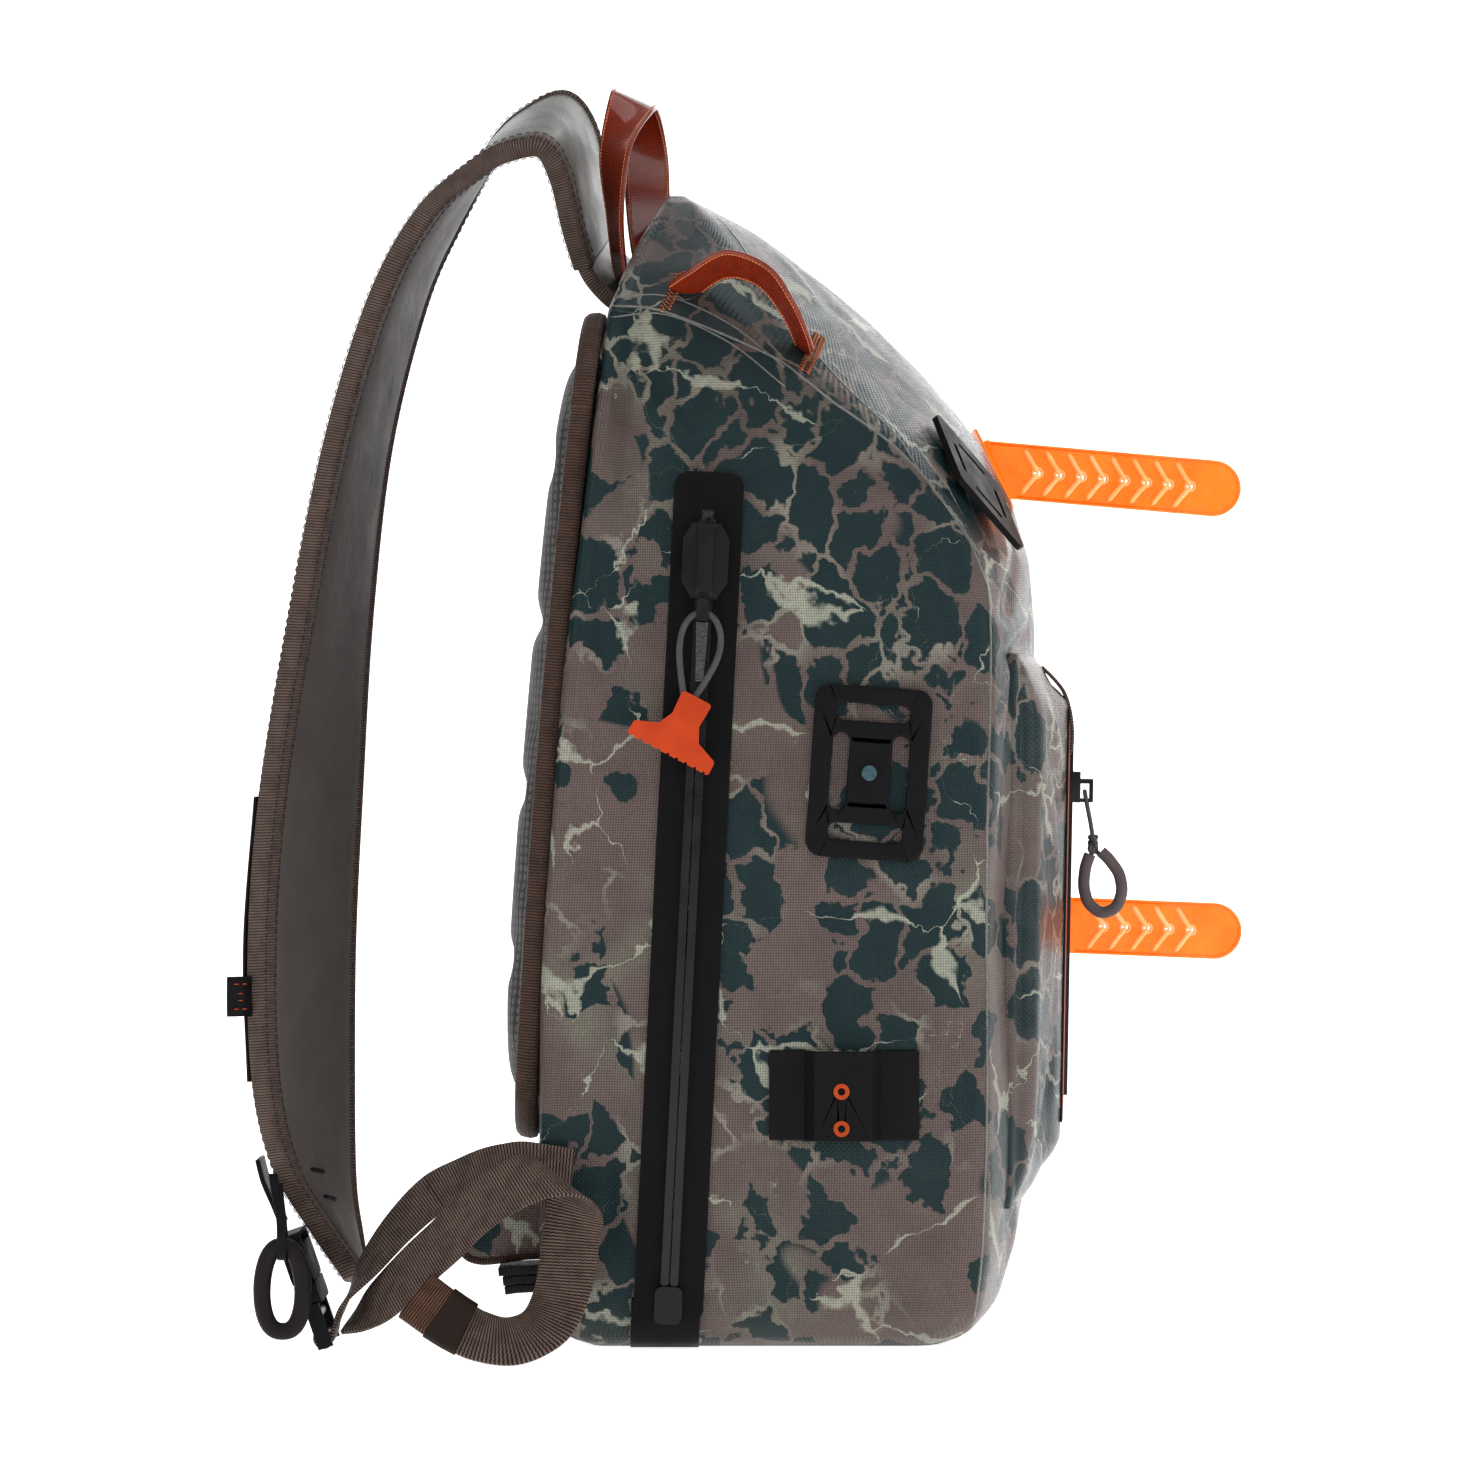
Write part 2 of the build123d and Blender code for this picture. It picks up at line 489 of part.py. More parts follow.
def buckle_plane(down=0.0):
    """x along the buckle's width, y up its axis, z outwards (+Y); down is a distance along its axis."""
    lean = radians(BUCKLE_LEAN)
    up = Vector(0, sin(lean), cos(lean))
    return Plane(origin=BUCKLE_TOP - up * down, x_dir=(-1, 0, 0), z_dir=Vector(-1, 0, 0).cross(up))


def hardware():
    # a short hanger webbing from under the strap's end carries the buckle and the ring
    hang = [(-112, 204, 76), (-115, 201.4, 67.5), (-118.5, 197.2, 59), (-121.5, 193.4, 50.8)]
    parts["hanger_webbing"] = strip(hang, [(1, 0, 0)] * 4, WEB_W - 4, -0.9, 0.9, 2)
    p = buckle_plane(0)
    t, w = 9.0, BUCKLE_W
    female = block(p, w, 20, t, 3.5, y=-12, z=-t / 2)
    female -= block(p, w - 6, 15, t - 3.4, 1.5, y=-16.5, z=-(t - 3.4) / 2)
    female -= block(p, WEB_W - 1, 3.0, 20, 1, y=-5.2, z=-10)
    for side in (1, -1):
        female -= block(p, 8, 7, 3.4, y=-13, x=side * w / 2, z=-1.7)
    parts["buckle_female"] = female
    male = block(p, w, 9, t, 2.5, y=-22.4 - 4.5, z=-t / 2)
    for side in (1, -1):
        male += block(p, 3.6, 15, 4.0, 1.2, x=side * 9.4, y=-17.0, z=-2)
        male += block(p, 3.0, 4.0, 3.0, x=side * 11.1, y=-13.4, z=-1.5)
    male += block(p, 5.0, 14, 3.0, 1.2, y=-17.2, z=-1.5)
    frame_y = -31.6
    for side in (1, -1):
        male += block(p, 2.6, 18, 6.0, x=side * (w / 2 - 1.4), y=frame_y - 8.5, z=-3)
    parts["buckle_male"] = male
    bar = p * Pos(0, frame_y - 14.0, 0) * Rot(0, 90, 0) * Cylinder(1.8, w - 5.6)
    collar = p * Pos(0, frame_y - 4.6, 0) * Rot(0, 90, 0) * Cylinder(2.0, w - 5.6)
    parts["adjuster_bar"] = bar
    parts["buckle_collar"] = collar
    # long rubber ring on a narrow loop of webbing beside the buckle
    ring_plane = Plane(origin=RING_AT, x_dir=(0, -1, 0), z_dir=(-1, 0, 0))
    line = (ring_plane * SlotOverall(RING_HIGH, RING_WIDE, rotation=90)).face().outer_wire()
    disc = Plane(origin=line @ 0, z_dir=line % 0) * Circle(RING_R)
    parts["gear_ring"] = sweep(disc, path=line)
    x, y, z = RING_AT.X, RING_AT.Y, RING_AT.Z + RING_HIGH / 2
    near, far = x - RING_R - 1.7, x + RING_R + 1.7
    loop = [(-126, y + 3.4, z + 23), (-133, y + 2, z + 16), (far, y + 0.5, z + 9), (far, y, z + 1),
            (far - 1.2, y, z - 3.6), (x, y, z - 5.0), (near + 1.2, y, z - 3.6), (near, y, z + 1),
            (near, y, z + 8), (x - 1, y + 1, z + 13.5), (-136, y + 3.4, z + 19.5), (-127.5, y + 5.4, z + 27)]
    parts["ring_hanger"] = strip(loop, [(0, 1, 0)] * len(loop), 3.6, -0.5, 0.5, 2)
    return p, frame_y - 14.0


def lower_webbing(p, bar_y):
    """The adjuster webbing: round the bar, one run sewn to the bag, the other a free tail."""
    bar = p.from_local_coords(Vector(0, bar_y, 0))
    by, bz = bar.Y, bar.Z
    x = bar.X
    across = (1, 0, 0)
    wrap = [(x, by - 7.0, bz + 12.0), (x, by - 4.2, bz + 5.0), (x, by - 3.2, bz + 0.5), (x, by - 1.6, bz - 2.9),
            (x, by + 1.4, bz - 3.3), (x, by + 3.4, bz - 1.0), (x, by + 3.4, bz + 1.6)]
    parts["adjuster_webbing"] = strip(wrap, [across] * 7, WEB_W - 3.2, -WEB_T / 2, WEB_T / 2, 2)
    run = [(x, by - 8, bz + 14), (x + 3, by - 17, bz + 28), (x + 7, by - 29, bz + 43), (x + 6.5, by - 43, bz + 56),
           (x + 1, by - 58, bz + 63), (-128, 103, 71.5), (-133.2, 91, 71.5), (-133.2, 77, 69)]
    turn = [(1, 0, 0), (.93, .28, .2), (.85, .4, .3), (.8, .4, .45), (.75, .3, .6), (.4, .2, .88), (0, 0, 1),
            (0, -.1, 1)]
    parts["anchor_webbing"] = strip(run, turn, WEB_W, -WEB_T / 2, WEB_T / 2, 3)
    tail = [(x - 1, by - 7, bz + 2.4), (-127, 162, 12.5), (-133, 153, 21), (-138, 139.5, 34.5), (-143, 126, 47),
            (-147, 116, 57.5), (-151, 103, 67), (-153, 91, 72.5), (-152.5, 80.5, 70.5), (-150, 75.5, 59),
            (-150, 77.5, 43), (-153, 80.5, 26), (-159, 87, 14), (-164, 99, 9), (-163, 113, 11), (-160, 126, 18),
            (-156.5, 138, 26)]
    twist = [(1, 0, 0), (.95, .2, .2), (.8, .35, .45), (.74, .4, .52), (.72, .42, .55), (.7, .42, .58),
             (.68, .42, .6), (.62, .5, .6), (.5, .72, .48), (.4, .9, .2), (.4, .92, 0), (.45, .88, .05),
             (.6, .7, .35), (.74, .25, .62), (.74, -.2, .64), (.7, -.42, .58), (.66, -.48, .58)]
    parts["tail_webbing"] = strip(tail, twist, WEB_W, -WEB_T / 2, WEB_T / 2, 3)
    keep = [(-162, 117.5, 13.2), (-160.7, 123, 16.2), (-159.3, 128.5, 19.6)]
    grip = [(.73, -.3, .61), (.71, -.38, .59), (.69, -.43, .58)]
    sleeve = strip(keep, grip, WEB_W + 4, -2.6, 2.6, 2) - strip(
        [tail[14]] + keep + [tail[16]], [twist[14]] + grip + [twist[16]], WEB_W + 1, -1.5, 1.5, 2)
    parts["webbing_keeper"] = sleeve


def anchors(outer):
    wing = [(0, 95.5, 66), (0, 118, 56), (0, 121.5, 38), (0, 114, 34.5), (0, 95.5, 37)]
    face = make_face(Polyline(*wing, close=True))
    parts["stabiliser_wing"] = Pos(-114, 0, 0) * extrude(face, 3.0, dir=(1, 0, 0))
    parts["wing_stub"] = Pos(-112.5, 99.8, 27.2) * Box(22, 15, 13)
    tongue_a = [(-38, 58, 424), (-41, 66.5, 430), (-43.4, 74.0, 439.0)]
    tongue_b = [(24, 50.0, 446), (25.5, 59, 453.5), (26.8, 66.0, 461.2)]
    parts["strap_anchor_tongue"] = ribbon(tongue_a, tongue_b, -1.6, 1.6) - outer - parts["grab_handle"]


def liner():
    """Slip pocket on the inside of the back."""
    low = Vector(0, BACK_LOW[1], BACK_LOW[0])
    high = Vector(0, BACK_HIGH[1], BACK_HIGH[0])
    up = (high - low).normalized()
    plane = Plane(origin=(low + high) * 0.5, x_dir=(-1, 0, 0), z_dir=Vector(-1, 0, 0).cross(up))
    parts["inner_slip_pocket"] = plane * Pos(0, -40, -WALL - 1.9) * extrude(RectangleRounded(190, 170, 10), 1.5)


def build():
    outer = bag()
    front_pocket(outer)
    back_pad()
    main_pull(main_zipper())
    side_trim()
    lash_patches()
    lash_straps()
    handles(outer)
    pocket_pull(*pocket_zipper())
    shoulder_strap()
    lower_webbing(*hardware())
    anchors(outer)
    liner()
    os.makedirs("parts", exist_ok=True)
    for name, shape in parts.items():
        export_step(shape, f"parts/{name}.step")


build()
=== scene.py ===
"""Sling tackle pack: materials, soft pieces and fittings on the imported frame, in metres."""
import math

import bpy
import numpy as np
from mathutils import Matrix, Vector, noise
from mathutils.bvhtree import BVHTree


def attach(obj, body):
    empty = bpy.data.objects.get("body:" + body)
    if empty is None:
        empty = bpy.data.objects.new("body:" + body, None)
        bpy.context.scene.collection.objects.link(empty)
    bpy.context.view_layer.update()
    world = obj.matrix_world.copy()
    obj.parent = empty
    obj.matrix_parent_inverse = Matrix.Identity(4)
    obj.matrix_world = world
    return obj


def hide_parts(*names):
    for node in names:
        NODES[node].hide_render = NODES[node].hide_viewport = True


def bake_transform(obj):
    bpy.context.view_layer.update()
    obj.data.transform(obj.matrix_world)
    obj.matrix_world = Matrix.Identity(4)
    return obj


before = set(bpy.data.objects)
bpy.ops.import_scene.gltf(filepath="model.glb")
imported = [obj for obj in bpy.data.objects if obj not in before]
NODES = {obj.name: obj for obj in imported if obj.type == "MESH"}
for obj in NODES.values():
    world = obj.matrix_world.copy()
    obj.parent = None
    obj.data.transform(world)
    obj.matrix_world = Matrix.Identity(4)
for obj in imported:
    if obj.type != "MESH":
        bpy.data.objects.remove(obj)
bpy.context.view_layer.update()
MM = 0.001

# driving dimensions, in millimetres
TOP_Z, HALF_W = 472.0, 130.0                     # the bag's height and half its width
REAR_ROUND, FRONT_ROUND = 7.0, 12.0              # plan radii of its corners
BACK_BOW, PAD_BOW = 5.5, 3.6                     # how far the back and the pad on it stand out at the middle
POCKET_LOW, POCKET_HIGH, POCKET_HALF_W = 54.0, 280.0, 92.0
POCKET_ZIP_X, POCKET_ZIP_LOW, POCKET_ZIP_HIGH = -30.0, 84.0, 258.0
WEBBING_W, WEBBING_T = 25.0, 1.6
PAD_LOW, PAD_HIGH, PAD_THICK = (92.0, 81.0), (64.0, 420.0), 12.4     # the back pad's two ends as (y, z)
PUMP_FRAMES = 20                                 # frames of the pad's cloth simulation
ZIP_LOW, ZIP_HIGH, ZIP_FACE = (39.0, 12.0), (22.0, 352.0), -130.0     # the main zipper's ends (y, z), and its x
BAR = (-121.5, 176.15, 5.88)                     # middle of the bar that the lower webbing passes round
RING_CENTRE, RING_THICK = (-144.0, 191.6, 27.0), 3.5
LABEL_CENTRE, LABEL_TURN = (-126.4, 210.8, 142.0), 27.6


def rgb(red, green, blue):
    """A colour written in display values from 0 to 255, as linear light."""
    values = [v / 255 for v in (red, green, blue)]
    return tuple(v / 12.92 if v <= 0.04045 else ((v + 0.055) / 1.055) ** 2.4 for v in values)


# ---------------------------------------------------------------- camera, light and floor
MIDDLE = (0.0, 0.0, 0.24)                        # metres
LIGHTS = [                                       # name, place and width in metres, watts
    ("top_light", (-0.35, -0.1, 1.75), 1.5, 10),
    ("camera_light", (-2.2, -0.25, 1.25), 1.3, 6.5),
    ("rear_light", (-1.0, 1.6, 0.75), 1.1, 8),
    ("front_light", (-0.9, -1.7, 0.85), 1.2, 9.5),
    ("fill_light", (1.5, -0.6, 1.1), 1.3, 6)]


def camera():
    data = bpy.data.cameras.new("camera")
    data.sensor_width = 36.0
    data.lens = 109.9
    data.dof.use_dof = False
    obj = bpy.data.objects.new("camera", data)
    obj.location = (-1.93, 0.0112, 0.246)
    obj.rotation_euler = (math.radians(90), 0.0, math.radians(-90))
    bpy.context.scene.collection.objects.link(obj)
    bpy.context.scene.camera = obj


def soft_light(name, place, size, power):
    """A square light that looks at the middle of the bag."""
    data = bpy.data.lights.new(name, "AREA")
    data.size = size
    data.energy = power
    obj = bpy.data.objects.new(name, data)
    obj.location = place
    obj.rotation_euler = (Vector(MIDDLE) - Vector(place)).to_track_quat("-Z", "Y").to_euler()
    bpy.context.scene.collection.objects.link(obj)


def studio():
    for light in LIGHTS:
        soft_light(*light)
    world = bpy.data.worlds.new("studio")
    world.use_nodes = True
    world.node_tree.nodes["Background"].inputs["Color"].default_value = (1, 1, 1, 1)
    world.node_tree.nodes["Background"].inputs["Strength"].default_value = 0.12
    bpy.context.scene.world = world
    bpy.context.scene.view_settings.view_transform = "Standard"


def floor():
    """A floor that curves up into a backdrop behind the bag."""
    line = [(-3.0, 0.0), (1.2, 0.0)]
    bend = [(1.2 + 0.6 * math.sin(a), 0.6 - 0.6 * math.cos(a)) for a in np.linspace(0, math.pi / 2, 17)[1:]]
    line += bend + [(1.8, 3.2)]
    points = np.array([[(x, y, z) for y in np.linspace(-3, 3, 9)] for x, z in line])
    sweep = grid_piece("studio_floor", points)
    paper = Shader("studio_paper", Roughness=0.9)
    place = paper.here()
    grain = paper.noise(place, 30, 3)
    paper.set("Base Color", paper.mix(grain, (0.9, 0.9, 0.9), (0.94, 0.94, 0.94)))
    paper.set("Emission Color", (1.0, 1.0, 1.0))
    paper.set("Emission Strength", 0.86)
    sweep.data.materials.append(paper.mat)


# ---------------------------------------------------------------- material nodes
class Shader:
    """A material with short calls for its nodes; each call gives an output socket."""

    def __init__(self, name, **values):
        self.mat = bpy.data.materials.new(name)
        self.mat.use_nodes = True
        self.tree = self.mat.node_tree
        self.bsdf = self.tree.nodes["Principled BSDF"]
        for socket, value in values.items():
            self.set(socket.replace("_", " "), value)

    def put(self, socket, value):
        if isinstance(value, bpy.types.NodeSocket):
            self.tree.links.new(value, socket)
        elif socket.type == "RGBA" and len(value) == 3:
            socket.default_value = (*value, 1.0)
        else:
            socket.default_value = value

    def set(self, name, value):
        self.put(self.bsdf.inputs[name], value)

    def node(self, kind, inputs=(), **settings):
        n = self.tree.nodes.new(kind)
        for key, value in settings.items():
            setattr(n, key, value)
        for key, value in dict(inputs).items():
            self.put(n.inputs[key], value)
        return n

    def here(self):
        """The place of a point at rest, in metres."""
        return self.node("ShaderNodeTexCoord").outputs["Object"]

    def cloth(self):
        """Metres along and across the fabric."""
        both = self.split(self.node("ShaderNodeUVMap", uv_map="cloth").outputs[0])
        return both[0], both[1]

    def painted(self, name):
        return self.node("ShaderNodeAttribute", attribute_name=name).outputs["Fac"]

    def math(self, operation, a, b=0.0):
        return self.node("ShaderNodeMath", {0: a, 1: b}, operation=operation).outputs[0]

    def add(self, a, b):
        return self.math("ADD", a, b)

    def times(self, a, b):
        return self.math("MULTIPLY", a, b)

    def vec(self, operation, a, b):
        return self.node("ShaderNodeVectorMath", {0: a, 1: b}, operation=operation).outputs["Vector"]

    def split(self, vector):
        return self.node("ShaderNodeSeparateXYZ", {0: vector}).outputs

    def join(self, x, y, z):
        return self.node("ShaderNodeCombineXYZ", {0: x, 1: y, 2: z}).outputs[0]

    def noise(self, vector, scale, detail, rough=0.5, output="Fac"):
        return self.node("ShaderNodeTexNoise", {"Vector": vector, "Scale": scale, "Detail": detail,
                                                "Roughness": rough}).outputs[output]

    def cells(self, vector, scale, feature, output):
        return self.node("ShaderNodeTexVoronoi", {"Vector": vector, "Scale": scale},
                         feature=feature).outputs[output]

    def ramp(self, value, low, high, to_low=0.0, to_high=1.0):
        """value eased from low..high to to_low..to_high."""
        ends = {"From Min": low, "From Max": high, "To Min": to_low, "To Max": to_high}
        n = self.node("ShaderNodeMapRange", {"Value": value, **ends}, interpolation_type="SMOOTHSTEP")
        return n.outputs["Result"]

    def mix(self, factor, a, b, blend="MIX"):
        n = self.node("ShaderNodeMix", {0: factor, 6: a, 7: b}, data_type="RGBA", blend_type=blend)
        return n.outputs[2]

    def bump(self, height, distance, under=None):
        """A surface that stands up by height times distance metres."""
        inputs = {"Height": height, "Distance": distance, "Strength": 1.0}
        if under is not None:
            inputs["Normal"] = under
        return self.node("ShaderNodeBump", inputs).outputs[0]

    def ridges(self, value, pitch):
        """0 between ridges and 1 on top of each, a pitch apart in metres."""
        return self.math("ABSOLUTE", self.math("SINE", self.times(value, math.pi / pitch)))

    def weave(self, u, v, pitch):
        """Plain weave: threads along u and v that pass over each other by turns."""
        count = [self.math("FLOOR", self.times(w, 1 / pitch)) for w in (u, v)]
        odd = self.math("FRACT", self.times(self.add(*count), 0.5))
        odd = self.math("ROUND", odd)
        over = self.times(odd, self.ridges(u, pitch))
        under = self.times(self.math("SUBTRACT", 1.0, odd), self.ridges(v, pitch))
        return self.add(over, under)

    def finish(self, obj):
        obj.data.materials.clear()
        obj.data.materials.append(self.mat)


# ---------------------------------------------------------------- mesh makers
def smooth(obj):
    obj.data.polygons.foreach_set("use_smooth", [True] * len(obj.data.polygons))


def mesh_piece(name, verts, faces, uvs):
    """A smooth-shaded mesh in metres; uvs holds one (u, v) for each face corner."""
    mesh = bpy.data.meshes.new(name)
    mesh.from_pydata([tuple(map(float, v)) for v in verts], [], faces)
    layer = mesh.uv_layers.new(name="cloth")
    layer.data.foreach_set("uv", np.array(uvs, np.float32).reshape(-1))
    mesh.validate()
    obj = bpy.data.objects.new(name, mesh)
    smooth(obj)
    bpy.context.scene.collection.objects.link(obj)
    return obj


def grid_data(points, uv, closed, caps, first=0):
    """Vertices, faces and corner uvs of a net of points[i][j]; closed joins the last column to the first."""
    rows, cols = points.shape[:2]
    faces, corners = [], []
    if uv is None:
        uv = np.zeros((rows, cols + 1, 2))
    for i in range(rows - 1):
        for j in range(cols if closed else cols - 1):
            k = (j + 1) % cols
            faces.append((first + i * cols + j, first + i * cols + k,
                          first + (i + 1) * cols + k, first + (i + 1) * cols + j))
            corners += [uv[i, j], uv[i, j + 1], uv[i + 1, j + 1], uv[i + 1, j]]
    if caps:
        faces.append(tuple(first + j for j in reversed(range(cols))))
        corners += [uv[0, j] for j in reversed(range(cols))]
        faces.append(tuple(first + (rows - 1) * cols + j for j in range(cols)))
        corners += [uv[rows - 1, j] for j in range(cols)]
    return list(points.reshape(-1, 3)), faces, corners


def grid_piece(name, points, uv=None, closed=False, caps=False):
    verts, faces, corners = grid_data(np.asarray(points, float), uv, closed, caps)
    return mesh_piece(name, verts, faces, corners)


def many_piece(name, parts):
    """One object from several (points, uv, closed, caps) nets."""
    verts, faces, corners = [], [], []
    for points, uv, closed, caps in parts:
        v, f, c = grid_data(np.asarray(points, float), uv, closed, caps, len(verts))
        verts += v
        faces += f
        corners += c
    return mesh_piece(name, verts, faces, corners)


def curve_through(points, steps):
    """Points on the smooth curve through the given ones, steps to a span."""
    p = np.array(points, float)
    p = np.vstack([2 * p[0] - p[1], p, 2 * p[-1] - p[-2]])
    out = []
    for i in range(1, len(p) - 2):
        for t in np.arange(steps) / steps:
            out.append(0.5 * (2 * p[i] + (p[i + 1] - p[i - 1]) * t
                              + (2 * p[i - 1] - 5 * p[i] + 4 * p[i + 1] - p[i + 2]) * t * t
                              + (3 * p[i] - p[i - 1] - 3 * p[i + 1] + p[i + 2]) * t ** 3))
    return np.array(out + [p[-2]])


def unit(v):
    return v / np.maximum(np.linalg.norm(v, axis=-1, keepdims=True), 1e-9)


def arc_lengths(line):
    return np.concatenate([[0.0], np.cumsum(np.linalg.norm(np.diff(line, axis=0), axis=1))])


def slab(start, stop, low, high, rounding, columns, crown=0.0):
    """A profile maker: a flat band between two distances from edge a, with rounded edges.

    start and stop below zero count from edge b; crown lifts the middle of the upper face."""
    def profile(width):
        a = start if start >= 0 else width + start
        b = stop if stop > 0 else width + stop
        top, bottom = [], []
        for t in np.linspace(0, 1, columns + 1):
            u = a + rounding * 0.6 + (b - a - rounding * 1.2) * t
            bulge = crown * (1 - (2 * t - 1) ** 4)
            top.append((u, high + max(bulge, 0.0)))
            bottom.append((u, low + min(bulge, 0.0)))
        side = (high - low) / 2
        r = min(rounding, side)
        right = [(b - r * 0.15, high - r * 0.4), (b, high - r), (b, low + r), (b - r * 0.15, low + r * 0.4)]
        left = [(a + r * 0.15, low + r * 0.4), (a, low + r), (a, high - r), (a + r * 0.15, high - r * 0.4)]
        return top + right + bottom[::-1] + left
    return profile


def band(edge_a, edge_b, profile, steps, start=0, stop=None):
    """A net that carries a profile between two edge lines in millimetres, from one station to another."""
    a, b = curve_through(edge_a, steps), curve_through(edge_b, steps)
    mid = (a + b) / 2
    along = np.gradient(mid, axis=0)
    across = unit(b - a)
    out = unit(np.cross(along, across))
    width = np.linalg.norm(b - a, axis=1)
    run = arc_lengths(mid)
    rows, uvs = [], []
    for i in range(start, stop or len(a)):
        shape = np.array(profile(width[i]))
        rows.append(a[i] + across[i] * shape[:, :1] + out[i] * shape[:, 1:])
        loop = np.vstack([shape, shape[:1]])
        around = arc_lengths(loop)
        uvs.append(np.column_stack([np.full(len(around), run[i]), around]) * MM)
    return np.array(rows) * MM, np.array(uvs), True, True


def band_piece(name, *what):
    return many_piece(name, [band(*what)])


def edges_of(centres, acrosses, width):
    """The two edge lines of a strip of one width."""
    half = unit(np.array(acrosses, float)) * width / 2
    c = np.array(centres, float)
    return c - half, c + half


def webbing_profile(width, thick):
    return slab(0, width, -thick / 2, thick / 2, thick * 0.42, 8)


def strap(name, centres, acrosses, width, thick, steps=8):
    """A strip of webbing along its centre line."""
    return band_piece(name, *edges_of(centres, acrosses, width), webbing_profile(width, thick), steps)


def tube(line, radius, sides, closed=False, taper=False):
    """A round net along a line in millimetres; taper gives it pointed ends."""
    p = np.array(line, float)
    tangent = unit(np.roll(p, -1, 0) - np.roll(p, 1, 0)) if closed else unit(np.gradient(p, axis=0))
    side = np.cross(tangent[0], (0.3, 0.5, 0.8))
    rows, uvs = [], []
    run = arc_lengths(p)
    for i in range(len(p)):
        side = side - tangent[i] * np.dot(side, tangent[i])
        side = side / np.linalg.norm(side)
        other = np.cross(tangent[i], side)
        r = radius if np.isscalar(radius) else radius[i]
        if taper and i in (0, len(p) - 1):
            r *= 0.35
        angle = np.linspace(0, 2 * np.pi, sides, endpoint=False)[:, None]
        rows.append(p[i] + (np.cos(angle) * side + np.sin(angle) * other) * r)
        uvs.append(np.column_stack([np.full(sides + 1, run[i]),
                                    np.linspace(0, 2 * np.pi * r, sides + 1)]) * MM)
    rows = np.array(rows) * MM
    uvs = np.array(uvs)
    if closed:
        rows = np.concatenate([rows, rows[:1]])
        uvs = np.concatenate([uvs, uvs[-1:]])
    return rows, uvs, True, not closed


def stitch_nets(line, up, pitch=3.4, radius=0.28, share=0.66):
    """Sunk-ended stitches on a line; up is the surface normal at each of its points."""
    p = np.array(line, float)
    run = arc_lengths(p)
    ups = np.array(up, float)
    nets = []
    for s in np.arange(pitch * 0.3, run[-1] - pitch, pitch):
        spots = []
        for k, lift in ((0.0, -0.1), (0.18, 0.16), (0.5, 0.22), (0.82, 0.16), (1.0, -0.1)):
            t = s + pitch * share * k
            at = np.array([np.interp(t, run, p[:, c]) for c in range(3)])
            n = np.array([np.interp(t, run, ups[:, c]) for c in range(3)])
            spots.append(at + n * lift)
        nets.append(tube(spots, radius, 6, taper=True))
    return nets


def bevelled(obj, width):
    """Rounds a CAD node's hard edges with a modifier, which leaves its mesh as it is."""
    weld = obj.modifiers.new("weld", "WELD")
    weld.merge_threshold = 0.00001
    cut = obj.modifiers.new("bevel", "BEVEL")
    cut.width = width * MM
    cut.segments = 2
    cut.limit_method = "ANGLE"
    cut.angle_limit = math.radians(35)
    even = obj.modifiers.new("even_normals", "WEIGHTED_NORMAL")
    even.weight = 90
    even.keep_sharp = False


def apply_modifiers(obj):
    bpy.context.view_layer.update()
    done = bpy.data.meshes.new_from_object(obj.evaluated_get(bpy.context.evaluated_depsgraph_get()))
    obj.modifiers.clear()
    obj.data = done


# ---------------------------------------------------------------- the bag's shape, in millimetres
LEVELS = [
    (0, 112, 70, -70, -84), (4, 121, 79, -78, -93), (13, 128, 86, -85, -101), (34, 130, 91, -88, -108),
    (64, 130, 93.4, -89, -113), (100, 130, 90.4, -89, -115), (200, 130, 82.2, -89, -115),
    (290, 130, 74.8, -91, -115), (320, 130, 72.3, -85, -112.5), (345, 129, 70.3, -68, -105),
    (370, 126, 68.2, -46, -91), (390, 121, 66.6, -20, -76), (405, 115, 65.3, -5, -63), (420, 107, 64, 6, -49),
    (436, 95, 57.5, 15, -30), (450, 81, 51, 20, -12), (461, 68, 45.5, 24, 4), (468, 58, 42, 29, 19),
    (472, 50, 40, 33, 29)]
SEAM = [(64, 421), (40, 418), (-2, 400), (-16, 390), (-27, 381), (-37, 374), (-54, 361), (-72, 340),
        (-86, 316), (-90.5, 290), (-89, 200), (-89, 100), (-87, 40), (-84, 13)]


def level_at(z):
    """Half width, back, side seam and front at height z, eased between the levels."""
    table = np.array(LEVELS, float)
    near = z + np.linspace(-7, 7, 15)
    weight = np.exp(-(np.linspace(-7, 7, 15) / 3.5) ** 2)
    near = np.clip(near, 0, TOP_Z)
    if z < 8 or z > TOP_Z - 6:
        near, weight = np.array([z]), np.array([1.0])
    weight = weight / weight.sum()
    half, back, seam, front = [float(np.sum(np.interp(near, table[:, 0], table[:, k]) * weight))
                               for k in range(1, 5)]
    return half, back + BACK_BOW * bow(z), seam, front


def bow(z):
    """How far the back stands out at height z, as a share of its most."""
    return np.sin(np.pi * np.clip((np.asarray(z) - 60.0) / 370.0, 0, 1))


def bowed(points):
    """Points of the pad in millimetres, moved out with the back."""
    points = np.array(points, float)
    points[..., 1] += PAD_BOW * bow(points[..., 2])
    return points


def corner(a, c, b, count):
    """Points of the curve from a to b that turns at c, without its two ends."""
    t = np.linspace(0, 1, count + 2)[1:-1, None]
    return (1 - t) ** 2 * np.array(a) + 2 * t * (1 - t) * np.array(c) + t * t * np.array(b)


def front_arc(x, half, seam, front):
    rise = seam - front
    radius = (half * half + rise * rise) / (2 * rise)
    return front + radius - np.sqrt(radius * radius - x * x)


